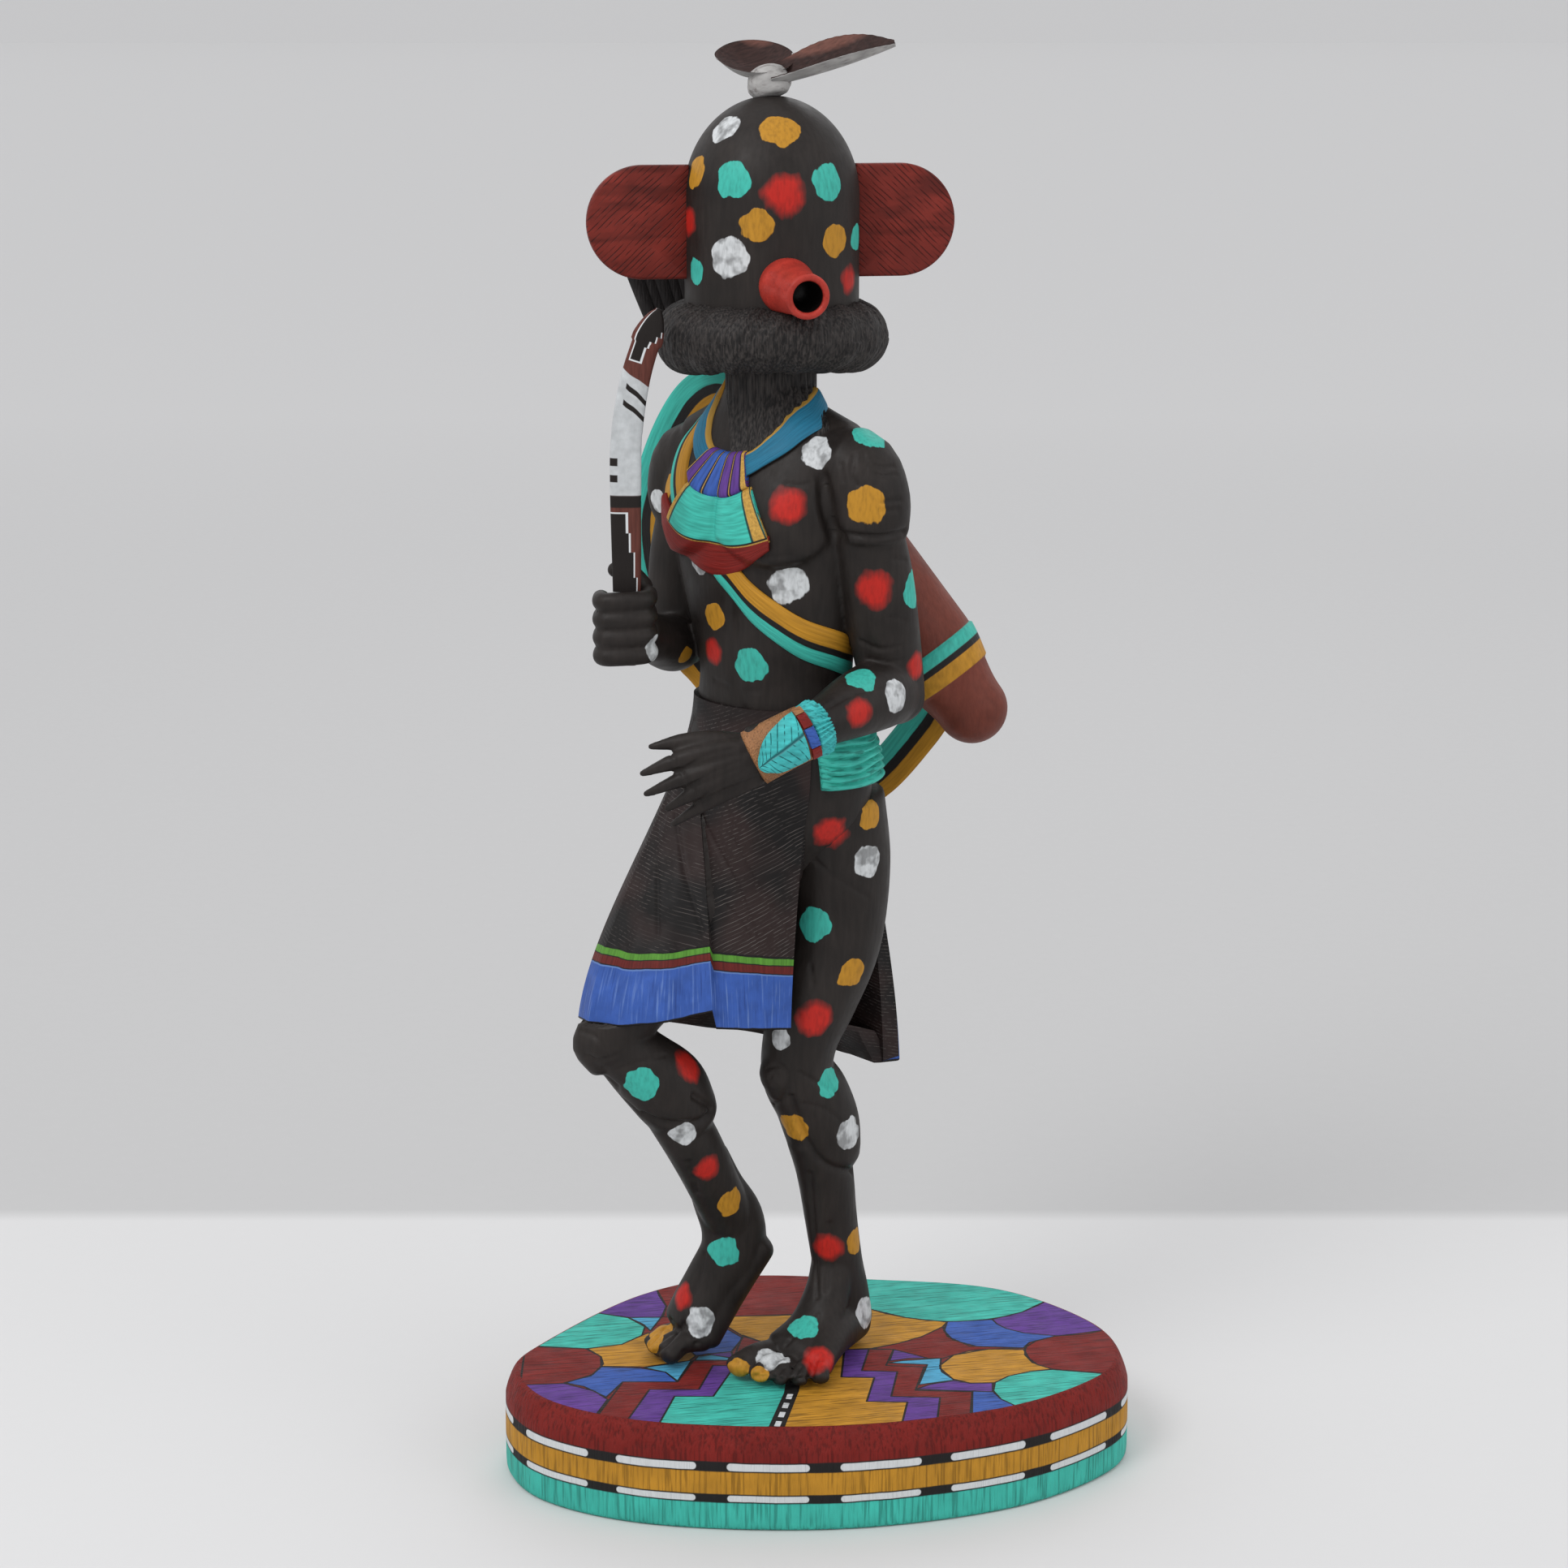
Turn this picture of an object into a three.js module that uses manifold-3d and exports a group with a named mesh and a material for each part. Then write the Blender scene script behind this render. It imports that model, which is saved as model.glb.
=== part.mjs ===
// A carved and painted wooden dancer on an oval base.
// Millimetres, +Z up. The origin is the centre of the base's underside, and the viewer looks along +Y.
import * as THREE from 'three';
import { mergeVertices } from 'three/addons/utils/BufferGeometryUtils.js';
import Module from 'manifold-3d';

const wasm = await Module();
wasm.setup();

// Driving dimensions
const baseLength = 227;
const baseWidth = 147;
const baseThickness = 37;
const baseFlare = 3.4;
const baseEdgeRound = 2.2;
const restGap = 0.3;
const figureHeight = 445;
const bodyTurn = 40;
const headTurn = -10;
const maskRadius = 29.3;
const maskDome = 33;
const ruffThickness = 25;
const ruffReach = 39.5;
const earReach = 62.3;
const earHeight = 37.5;
const earThickness = 5;
const snoutLength = 23;
const snoutRadius = 7.2;
const snoutBore = 4.7;
const snoutBoreDepth = 14;
const snoutFlare = 2.2;
const featherThickness = 2.4;
const roundFeatherLength = 27;
const longFeatherLength = 44;
const fanThickness = 4;
const stickWidth = 10.5;
const stickThickness = 4.2;
const bundleRadius = 17.4;
const bundleEndRadius = 12.6;
const strapWidth = 15;
const strapThickness = 2;
const reliefRise = 0.9;
const reliefSink = 2.5;

// The figure is carved to a drawing that is drawnHeight tall, and follows figureHeight as a whole.
const drawnHeight = 445;
const soleLevel = baseThickness + restGap;
const scale = figureHeight / drawnHeight;
const rad = THREE.MathUtils.degToRad;

// A place on the figure: across, deep and height above the soles, on the drawing.
const at = (x, y, h) => new THREE.Vector3(x * scale, y * scale, soleLevel + h * scale);
const size = (length) => length * scale;
const left = new THREE.Vector3(Math.cos(rad(bodyTurn)), -Math.sin(rad(bodyTurn)), 0);
const front = new THREE.Vector3(-Math.sin(rad(bodyTurn)), -Math.cos(rad(bodyTurn)), 0);
const up = new THREE.Vector3(0, 0, 1);
const headFront = new THREE.Vector3(-Math.sin(rad(headTurn)), -Math.cos(rad(headTurn)), 0);
const headLeft = new THREE.Vector3(Math.cos(rad(headTurn)), -Math.sin(rad(headTurn)), 0);

// Solids

// Joins a row of closed rings into one closed body, with a tip at each end.
function skin(rings, startTip = middle(rings[0]), endTip = middle(rings.at(-1))) {
  const count = rings[0].length;
  const points = [...rings.flat(), startTip, endTip];
  const faces = [];
  const first = points.length - 2;
  const last = points.length - 1;
  const tail = (rings.length - 1) * count;
  for (let j = 0; j < count; j += 1) {
    const k = (j + 1) % count;
    faces.push(first, k, j, last, tail + j, tail + k);
    for (let i = 0; i < rings.length - 1; i += 1) {
      const a = i * count;
      const b = a + count;
      faces.push(a + j, a + k, b + k, a + j, b + k, b + j);
    }
  }
  if (enclosed(points, faces) < 0) faces.reverse();
  return solidFrom(points.flatMap((p) => [p.x, p.y, p.z]), faces);
}

// The volume inside the faces, below zero where they all point inwards.
function enclosed(points, faces) {
  let volume = 0;
  for (let i = 0; i < faces.length; i += 3) {
    const [a, b, c] = [points[faces[i]], points[faces[i + 1]], points[faces[i + 2]]];
    volume += a.dot(b.clone().cross(c)) / 6;
  }
  return volume;
}

function middle(ring) {
  return ring.reduce((sum, p) => sum.add(p), new THREE.Vector3()).divideScalar(ring.length);
}

function solidFrom(positions, faces) {
  const vertProperties = new Float32Array(positions);
  const triVerts = new Uint32Array(faces);
  return new wasm.Manifold(new wasm.Mesh({ numProp: 3, vertProperties, triVerts }));
}

function solidOf(geometry) {
  const bare = geometry.clone();
  bare.deleteAttribute('normal');
  bare.deleteAttribute('uv');
  const merged = mergeVertices(bare, 1e-4);
  return solidFrom(merged.attributes.position.array, merged.index.array);
}

function geometryOf(solid) {
  const mesh = solid.getMesh();
  const geometry = new THREE.BufferGeometry();
  const places = new Float32Array((mesh.vertProperties.length / mesh.numProp) * 3);
  for (let i = 0; i < places.length / 3; i += 1) {
    places.set(mesh.vertProperties.subarray(i * mesh.numProp, i * mesh.numProp + 3), i * 3);
  }
  geometry.setAttribute('position', new THREE.BufferAttribute(places, 3));
  geometry.setIndex(new THREE.BufferAttribute(new Uint32Array(mesh.triVerts), 1));
  return geometry;
}

const joined = (solids) => solids.reduce((whole, solid) => whole.add(solid));

function oval(centre, across, deep, halfWidth, halfDepth, sides) {
  return Array.from({ length: sides }, (_, i) => {
    const turn = (2 * Math.PI * i) / sides;
    return centre.clone()
      .addScaledVector(across, halfWidth * Math.cos(turn))
      .addScaledVector(deep, halfDepth * Math.sin(turn));
  });
}

// Ends rounder than this share of the girth get a shoulder before their tip.
const flatEnd = 0.4;

// A limb along a bent middle line. Each stop is [x, y, height, half width, half depth].
function limb(stops, { sides = 9, steps = 1, side = left, ends = [0.7, 0.7] } = {}) {
  const line = new THREE.CatmullRomCurve3(stops.map(([x, y, h]) => at(x, y, h)));
  const girth = new THREE.CatmullRomCurve3(
    stops.map(([, , , wide, deep]) => new THREE.Vector3(size(wide), size(deep), 0)),
  );
  const ringAt = (t, shift, shrink) => {
    const along = line.getTangent(t);
    const across = side.clone().addScaledVector(along, -side.dot(along)).normalize();
    const deep = along.clone().cross(across);
    const centre = line.getPoint(t).addScaledVector(along, shift);
    const { x: wide, y: thick } = girth.getPoint(t);
    return oval(centre, across, deep, wide * shrink, thick * shrink, sides);
  };
  const capTurn = rad(48);
  const capLength = ends.map((round, t) => Math.min(girth.getPoint(t).x, girth.getPoint(t).y) * round);
  const count = steps * (stops.length - 1);
  const rings = [];
  if (ends[0] > flatEnd) rings.push(ringAt(0, -capLength[0] * Math.sin(capTurn), Math.cos(capTurn)));
  for (let i = 0; i <= count; i += 1) rings.push(ringAt(i / count, 0, 1));
  if (ends[1] > flatEnd) rings.push(ringAt(1, capLength[1] * Math.sin(capTurn), Math.cos(capTurn)));
  const startTip = line.getPoint(0).addScaledVector(line.getTangent(0), -capLength[0]);
  const endTip = line.getPoint(1).addScaledVector(line.getTangent(1), capLength[1]);
  return skin(rings, startTip, endTip);
}

// A straight-sided slab cut to a flat outline and stood on a frame of three directions.
function slab(outline, thickness, origin, across, tall, curveSegments = 6) {
  const geometry = new THREE.ExtrudeGeometry(outline, {
    depth: thickness, bevelEnabled: false, curveSegments,
  });
  geometry.translate(0, 0, -thickness / 2);
  const frame = new THREE.Matrix4().makeBasis(across, tall, across.clone().cross(tall));
  geometry.applyMatrix4(frame.setPosition(origin));
  return solidOf(geometry);
}

// Base

// The hand-cut oval, as shares of the half length and the half width, clockwise from the left.
const baseOutline = [
  [-0.99, -0.26], [-0.92, 0.08], [-0.62, 0.72], [-0.27, 1.0], [0.2, 0.96], [0.64, 0.81], [0.93, 0.37],
  [1.0, -0.06], [0.9, -0.4], [0.58, -0.76], [0.06, -0.97], [-0.5, -0.92], [-0.86, -0.66],
];

function base() {
  const edge = new THREE.CatmullRomCurve3(
    baseOutline.map(([x, y]) => new THREE.Vector3((x * baseLength) / 2, (y * baseWidth) / 2, 0)),
    true,
  );
  const plan = edge.getSpacedPoints(50).slice(0, 50);
  const ringAt = (z, inset) => plan.map((p) => {
    const reach = p.length();
    return p.clone().multiplyScalar((reach - inset) / reach).setZ(z);
  });
  const profile = [
    [0, baseEdgeRound],
    [baseEdgeRound, baseEdgeRound * 0.3],
    [baseThickness * 0.55, baseFlare * 0.2],
    [baseThickness - baseEdgeRound, baseFlare],
    [baseThickness, baseFlare + baseEdgeRound],
  ];
  return skin(profile.map(([z, inset]) => ringAt(z, inset)));
}

// Legs

const standingLeg = [
  [3, -3, 206, 20, 20.5], [6, -1, 182, 19, 20], [5, -3, 156, 17, 18], [-1, -7, 136, 14.5, 16.5],
  [-6, -9, 121, 12.5, 14.6], [-7, -8, 108, 12.2, 13.6], [-2, -4, 97, 12.8, 14.4],
  [1.5, -1, 86, 12.8, 14.6], [3.4, 0, 76, 11.6, 13.4],
];
const standingShin = [
  [-1, -4, 84, 10, 11], [2.5, -1, 70, 9.6, 11], [5, 1, 50, 8.8, 10.2], [7.4, 3, 32, 8.4, 10],
  [9, 4, 20, 8.8, 11], [9.6, 4, 9, 9.4, 12.5],
];
const standingKneecap = [[-15.5, -17.5, 117, 5, 4], [-16.8, -18.6, 110, 6.4, 5], [-15.4, -17, 103, 4.6, 4]];
const raisedThigh = [
  [-26, 2, 196, 19, 20], [-40, -10, 176, 18.5, 19], [-55, -22, 155, 17, 17], [-67, -31, 138, 13, 14],
  [-72.5, -35, 128, 10.6, 11],
];
const raisedCalf = [
  [-70, -34, 128, 10.5, 10.5], [-60.5, -29, 117, 12, 13], [-52, -24, 107, 12.4, 14.6],
  [-46.8, -20, 97, 11.2, 13],
];
const raisedShin = [
  [-55, -26, 108, 9, 11], [-43.5, -18, 84, 8.8, 10.4], [-36, -9, 64, 8, 9.8], [-30.5, -1, 48, 8, 9.6],
  [-28.5, 3, 38, 8, 9.4],
];
const raisedKneecap = [[-77.5, -37, 134, 5.2, 4.6], [-78.5, -37.5, 127, 6.4, 5.4], [-75, -36, 120, 4.8, 4.6]];

// A foot from the heel to the ball, and five toes that fan out from the ball.
function foot({ heel, instep, ball, toeSide, toes }) {
  const side = new THREE.Vector3(...toeSide, 0).normalize();
  const sole = limb([heel, instep, ball], { side, steps: 2, ends: [0.9, 0.6] });
  const digits = toes.map(([x, y, h, tipX, tipY, tipH, thick]) => limb([
    [x, y, h, thick, thick * 0.95], [tipX, tipY, tipH, thick, thick * 0.8],
  ], { side, sides: 5, ends: [0.3, 0.9] }));
  return joined([sole, ...digits]);
}

const standingFoot = {
  heel: [12.5, 8, 7.4, 8.2, 7.4],
  instep: [3, -8, 9.5, 10.5, 9.5],
  ball: [-5.5, -22, 5.6, 13.5, 5.6],
  toeSide: [0.86, -0.51],
  toes: [
    [-14.5, -15.5, 4.8, -24, -28.5, 4.4, 4.2],
    [-11, -24, 4, -16.5, -34.5, 3.6, 3.2],
    [-6, -26, 4, -10.5, -36, 3.4, 3],
    [-1, -27, 4, -4.2, -36, 3.4, 3],
    [4, -27, 4, 2.2, -34, 3.4, 3],
  ],
};
const raisedFoot = {
  heel: [-19.5, 10.5, 37, 7.6, 8.4],
  instep: [-31, 1.5, 26, 8.6, 9.5],
  ball: [-42.5, -3.5, 8, 11.5, 7],
  toeSide: [0.57, -0.82],
  toes: [
    [-40, -8, 6.5, -48.5, -15, 4.2, 4.2],
    [-45, -6, 6, -53, -11.5, 3.6, 3],
    [-47, -3, 5.6, -56, -7.5, 3.4, 2.9],
    [-48, 0, 5.4, -57.5, -3.5, 3.4, 2.8],
    [-48, 3, 5.2, -57, 0.5, 3.2, 2.8],
  ],
};

function legs() {
  return joined([
    limb(standingLeg, { ends: [0.2, 0.85] }),
    limb(standingShin, { ends: [0.5, 0.2] }),
    limb(standingKneecap, { sides: 7 }),
    foot(standingFoot),
    limb(raisedThigh, { ends: [0.3, 0.9] }),
    limb(raisedCalf, { ends: [0.8, 0.85] }),
    limb(raisedShin, { ends: [0.5, 0.5] }),
    limb(raisedKneecap, { sides: 7 }),
    foot(raisedFoot),
  ]);
}

// Trunk

// Each level is [x, y, height, half width, half depth].
const trunkLevels = [
  [-14, 1, 184, 22, 17], [-13, 1, 202, 33, 25], [-14, 1, 222, 35.5, 26], [-15, 0, 242, 29.5, 22],
  [-15.5, -0.5, 256, 28.5, 21], [-16, -0.5, 272, 32.5, 23], [-16.5, 0, 289, 36, 24.5],
  [-16.5, 0.5, 304, 38, 24.5], [-16.5, 1, 318, 38.5, 22.5], [-16.5, 1, 328, 36, 19.5],
  [-16.5, 0.5, 336, 28, 17], [-16.5, 0, 343, 20, 15], [-16.5, 0, 351, 14.5, 13.5],
];
const trunkLine = new THREE.CatmullRomCurve3(trunkLevels.map(([x, y, h]) => at(x, y, h)));
const trunkGirth = new THREE.CatmullRomCurve3(
  trunkLevels.map(([, , , wide, deep]) => new THREE.Vector3(size(wide), size(deep), 0)),
);

// The share of the trunk's line at a height on the drawing.
function trunkShare(h) {
  const heights = trunkLevels.map((level) => level[2]);
  const i = Math.max(0, Math.min(heights.length - 2, heights.findIndex((top) => top > h) - 1));
  return (i + (h - heights[i]) / (heights[i + 1] - heights[i])) / (heights.length - 1);
}

// A point on the trunk: turn 0 is the figure's left side, 90 its front and 180 its right side.
function onTrunk(turn, h, rise = 0) {
  const share = THREE.MathUtils.clamp(trunkShare(h), 0, 1);
  const girth = trunkGirth.getPoint(share);
  const centre = trunkLine.getPoint(share);
  centre.z = at(0, 0, h).z;
  return centre
    .addScaledVector(left, (girth.x + size(rise)) * Math.cos(rad(turn)))
    .addScaledVector(front, (girth.y + size(rise)) * Math.sin(rad(turn)));
}

// A raised piece on a surface: rows of places, each with a lower and an upper edge.
function raised(rows, rise, sink, surface = onTrunk) {
  const rings = rows.map(([turn, low, high, topTurn = turn]) => [
    surface(turn, low, -sink), surface(turn, low, rise),
    surface(topTurn, high, rise), surface(topTurn, high, -sink),
  ]);
  return skin(rings);
}

function trunk() {
  return limb(trunkLevels, { sides: 20, ends: [0.2, 0.2] });
}

// The baldric runs from the right shoulder over the chest and under the left arm.
function baldric() {
  const stops = [[158, 341, 5], [146, 331, 11], [132, 318, 13], [112, 299, 14], [92, 284, 14], [70, 273, 14],
    [48, 264, 14], [24, 256, 14], [0, 251, 14], [-24, 248, 14]];
  const line = new THREE.CatmullRomCurve3(stops.map(([turn, h, wide]) => new THREE.Vector3(turn, h, wide)));
  const rows = line.getPoints(12).map(({ x, y, z }) => [x, y - z / 2, y + z / 2]);
  return raised(rows, reliefRise, reliefSink);
}

// The collar lies round the neck and dips to the pendant, a fan in three steps.
function collar() {
  const stops = [[6, 338], [24, 335], [46, 328], [66, 320], [86, 314], [106, 318], [126, 326], [146, 333], [170, 337]];
  const line = new THREE.CatmullRomCurve3(stops.map(([turn, h]) => new THREE.Vector3(turn, h, 0)));
  const rows = line.getPoints(12).map(({ x, y }) => [x, y - 5, y + 5]);
  return raised(rows, reliefRise * 1.3, reliefSink);
}

const pendantTurn = 96;
function pendantTier(top, bottom, topSpread, bottomSpread, rise) {
  const rows = [];
  for (let i = 0; i <= 6; i += 1) {
    const share = i / 3 - 1;
    const dip = (1 - share * share) * 3;
    const low = pendantTurn + share * bottomSpread;
    rows.push([low, bottom - dip, top - dip * 0.5, pendantTurn + share * topSpread]);
  }
  return raised(rows, rise, reliefSink);
}

function pendant() {
  return joined([
    pendantTier(332, 313, 17, 27, reliefRise * 2.6),
    pendantTier(315, 298, 24, 40, reliefRise * 2),
    pendantTier(300, 291, 42, 38, reliefRise * 1.5),
  ]);
}

// Kilt

const waistHeight = 242;
const clothThickness = 4.5;
// The cloth is carved hollow this far up from its hem, between the legs.
const hollowRise = 20;
// The hem's corners and bends, [x, y, height], from the front edge round to the back edge.
const hemFront = [[-9.5, -30, 131], [-22, -37, 133], [-35, -42, 135]];
const hemLap = [[-36, -44, 142], [-52, -47, 139], [-67, -45, 137], [-78.5, -38, 136]];
const hemBack = [[-82, -26, 134], [-77, -4, 128], [-64, 18, 120], [-42, 36, 112], [-16, 44, 106], [6, 38, 103],
  [29, 22, 102.5]];
const hemInside = [[24, 19, 103], [6, 31, 106], [-14, 14, 118], [-14, -10, 128], [-12, -27, 131]];
// Where the same stretches start and end round the waist, in degrees on the trunk.
const waistTurns = { front: [20, 62], lap: [64, 130], back: [140, 330], inside: [334, 376] };

// One upright cloth line from the waist to the hem at a share of a stretch.
function clothLine(hem, turns, share, fold) {
  const hemPoint = new THREE.CatmullRomCurve3(hem.map(([x, y, h]) => new THREE.Vector3(x, y, h))).getPoint(share);
  const turn = THREE.MathUtils.lerp(...turns, share);
  const top = onTrunk(turn, waistHeight, 1.6);
  const bottom = at(hemPoint.x, hemPoint.y, hemPoint.z);
  return (t) => {
    const swell = THREE.MathUtils.smoothstep(t, 0, 1) * 0.7 + t * 0.3;
    const place = top.clone().lerp(bottom, swell);
    place.z = THREE.MathUtils.lerp(top.z, bottom.z, t);
    const outward = place.clone().sub(trunkLine.getPoint(0)).setZ(0).normalize();
    return place.addScaledVector(outward, size(fold * t));
  };
}

const pleatDepth = 1.1;
const pleatAt = (share, pleats) => pleatDepth * Math.cos(share * pleats * 2 * Math.PI);

function kilt() {
  const lines = [];
  const addStretch = (hem, turns, count, pleats) => {
    for (let i = 0; i <= count; i += 1) {
      const fold = pleats ? pleatAt(i / count, pleats) : 0;
      lines.push(clothLine(hem, turns, i / count, fold));
    }
  };
  addStretch(hemFront, waistTurns.front, 5, 0);
  addStretch(hemLap, waistTurns.lap, 9, 3);
  addStretch(hemBack, waistTurns.back, 16, 5);
  addStretch(hemInside, waistTurns.inside, 5, 0);
  const rings = [0, 0.3, 0.6, 0.84, 1].map((t) => lines.map((line) => line(t)));
  const hem = rings.at(-1);
  const core = middle(hem);
  const inner = (inset, lift) => hem.map((p) => {
    const toCore = core.clone().sub(p).setZ(0);
    const reach = toCore.length();
    return p.clone().addScaledVector(toCore, Math.min(0.9, size(inset) / reach)).setZ(p.z + size(lift));
  });
  rings.push(inner(clothThickness, 0.2), inner(clothThickness * 2.2, hollowRise * 0.6));
  return skin(rings, undefined, core.clone().setZ(core.z + size(hollowRise)));
}

// The folded sash on the left hip, in level pleats.
function sash() {
  const folds = 6;
  const [low, high] = [waistHeight - 29, waistHeight - 9];
  const heights = Array.from({ length: folds * 2 + 1 }, (_, i) => low + ((high - low) * i) / (folds * 2));
  const rows = [];
  for (let turn = -62; turn <= 38; turn += 20) {
    const outer = heights.map((h, i) => onTrunk(turn, h, 3.6 + (i % 2 ? 0.9 : -0.3)));
    rows.push([onTrunk(turn, low, -reliefSink), ...outer, onTrunk(turn, high, -reliefSink)]);
  }
  return skin(rows);
}

// Arms and hands

const leftShoulder = [
  [2, -13, 321, 13, 15], [12, -21.5, 323, 14, 14.6], [16.6, -25, 314, 14, 13.4], [17, -25.5, 304, 13.2, 12.6],
];
const leftUpperArm = [
  [15, -24, 308, 11.5, 12], [19, -22.5, 288, 12.2, 12.6], [22, -18.5, 268, 11.8, 12.4], [25, -14, 250, 10.6, 11.4],
  [26.5, -12, 243, 9.8, 10.4],
];
const leftForearm = [
  [27, -9, 243, 8.8, 9], [22, -22, 245, 10.6, 10.6], [12, -36, 245, 10.6, 10], [2, -47, 243, 8.6, 8],
  [-7, -55, 240.5, 7, 6.2],
];
const leftPalm = [[-6, -55, 240.5, 6.8, 5.6], [-14, -59, 238, 9.4, 5.4], [-24, -61, 235.6, 11, 5], [-29, -61.5, 234, 10.4, 4.2]];
// Each finger is [root x, y, height, tip x, y, height, thickness].
const leftFingers = [
  [-24, -60, 244, -52.5, -60.5, 240, 2.5],
  [-27, -61, 239, -55.4, -61, 231.8, 2.6],
  [-28, -61.5, 234, -53.4, -61.5, 225.4, 2.6],
  [-27, -61, 229.5, -49.6, -60, 218.6, 2.5],
  [-24, -60, 225.5, -45.2, -57.5, 214.2, 2.3],
];
const rightShoulder = [
  [-35, 13, 320, 13, 15], [-44.5, 21, 321, 13.6, 14], [-49, 24.5, 312, 13.4, 12.8], [-49, 25, 303, 12.8, 12.2],
];
const rightUpperArm = [
  [-47, 23.5, 308, 11, 11.6], [-48.5, 25, 288, 11.4, 12], [-48.5, 24.5, 268, 11, 11.6], [-48, 22, 256, 10, 10.6],
];
const rightForearm = [
  [-47.5, 25, 256, 8.6, 8.6], [-51, 12, 258, 10, 9.8], [-56, -2, 262.5, 9, 8.6], [-60.5, -14, 267, 6.6, 7.4],
];

function fingerLimb([x, y, h, tipX, tipY, tipH, thick]) {
  const bend = 0.9;
  return limb([
    [x, y, h, thick, thick],
    [(x + tipX) / 2, (y + tipY) / 2 - bend, (h + tipH) / 2, thick * 0.95, thick * 0.95],
    [tipX, tipY, tipH, thick * 0.62, thick * 0.62],
  ], { side: up, sides: 5, ends: [0.3, 1.2] });
}

function openHand() {
  return joined([limb(leftPalm, { side: up }), ...leftFingers.map(fingerLimb)]);
}

// The wrist guard: a soft ring round the wrist and a plate on its outer side.
function wristGuard() {
  const ring = limb([[8, -41, 244, 11.2, 10.6], [3.5, -45.5, 243, 11, 10.4]], { ends: [0.2, 0.2] });
  const plate = limb([[2, -53.5, 242, 7.4, 2.2], [-8, -60.5, 240.5, 7.8, 2.2], [-14, -63.6, 239, 7.6, 2]], {
    side: up, sides: 8, ends: [0.2, 0.2],
  });
  return ring.add(plate);
}

// The closed hand: a palm behind the stick and four fingers that curl round it.
const gripX = -65;
const gripY = -25;
function closedHand() {
  const palm = limb([[-62, -15, 279, 7, 6.4], [-64, -17, 270, 8, 7], [-65, -17.5, 261, 7, 6.4]], { sides: 8 });
  const fingers = [];
  for (let i = 0; i < 4; i += 1) {
    const h = 281 - i * 6.2;
    fingers.push(limb([
      [gripX + 7.5, gripY + 4, h + 0.5, 3.1, 3.1],
      [gripX + 6.5, gripY - 5, h, 3.2, 3.2],
      [gripX - 6.5, gripY - 6, h - 0.6, 3.3, 3.2],
      [gripX - 8.5, gripY + 3, h - 0.8, 3, 3],
    ], { side: up, sides: 6, ends: [0.3, 0.3] }));
  }
  const thumb = limb([
    [gripX + 6, gripY + 7, 283, 3.4, 3.4], [gripX + 2, gripY + 4.5, 288, 3.2, 3], [gripX - 4, gripY + 5, 289.5, 2.6, 2.4],
  ], { side: up, sides: 6, ends: [0.5, 1] });
  return joined([palm, thumb, ...fingers]);
}

function arms() {
  return joined([
    limb(leftShoulder, { side: front, ends: [0.3, 0.6] }),
    limb(leftUpperArm, { ends: [0.3, 0.8] }),
    limb(leftForearm, { ends: [0.8, 0.3] }),
    openHand(),
    wristGuard(),
    limb(rightShoulder, { side: front, ends: [0.3, 0.6] }),
    limb(rightUpperArm, { ends: [0.3, 0.8] }),
    limb(rightForearm, { ends: [0.8, 0.3] }),
    closedHand(),
  ]);
}

// Head

const headX = -16;
const ruffHeight = 365.5;
const maskHeight = 79.5;
const maskTop = ruffHeight + maskHeight;
const domeStart = maskTop - maskDome;
// The ears' middle line hangs this far below the crown, and the snout's stands this far above the ruff's.
const earDrop = 41;
const snoutLift = 21.5;
const maskBottom = ruffHeight;
const headAxis = (h) => at(headX, 0, h);

function maskShape(grow = 0) {
  const radius = size(maskRadius) + grow;
  const dome = size(maskDome) + grow;
  const start = at(0, 0, domeStart).z;
  const profile = [new THREE.Vector2(0, at(0, 0, maskBottom).z), new THREE.Vector2(radius, at(0, 0, maskBottom).z)];
  for (let i = 0; i <= 5; i += 1) {
    const turn = rad((90 * i) / 5);
    profile.push(new THREE.Vector2(i === 5 ? 0 : radius * Math.cos(turn), start + dome * Math.sin(turn)));
  }
  const geometry = new THREE.LatheGeometry(profile, 24);
  geometry.rotateX(Math.PI / 2);
  const { x, y } = headAxis(0);
  geometry.translate(x, y, 0);
  return solidOf(geometry);
}

// The neck and its fringe, ribbed all round.
function neck() {
  const ribs = 14;
  const rings = [332, 343, ruffHeight + 0.5].map((h, level) => {
    const depth = level ? 0.7 : -1.4;
    const centre = at(-16.3, -0.5, h);
    return oval(centre, headLeft, headFront, 1, 1, ribs * 2).map((p, i) => {
      const reach = size(14.8 + (i % 2 ? depth : -depth));
      return centre.clone().lerp(p, reach);
    });
  });
  return skin(rings);
}

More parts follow.
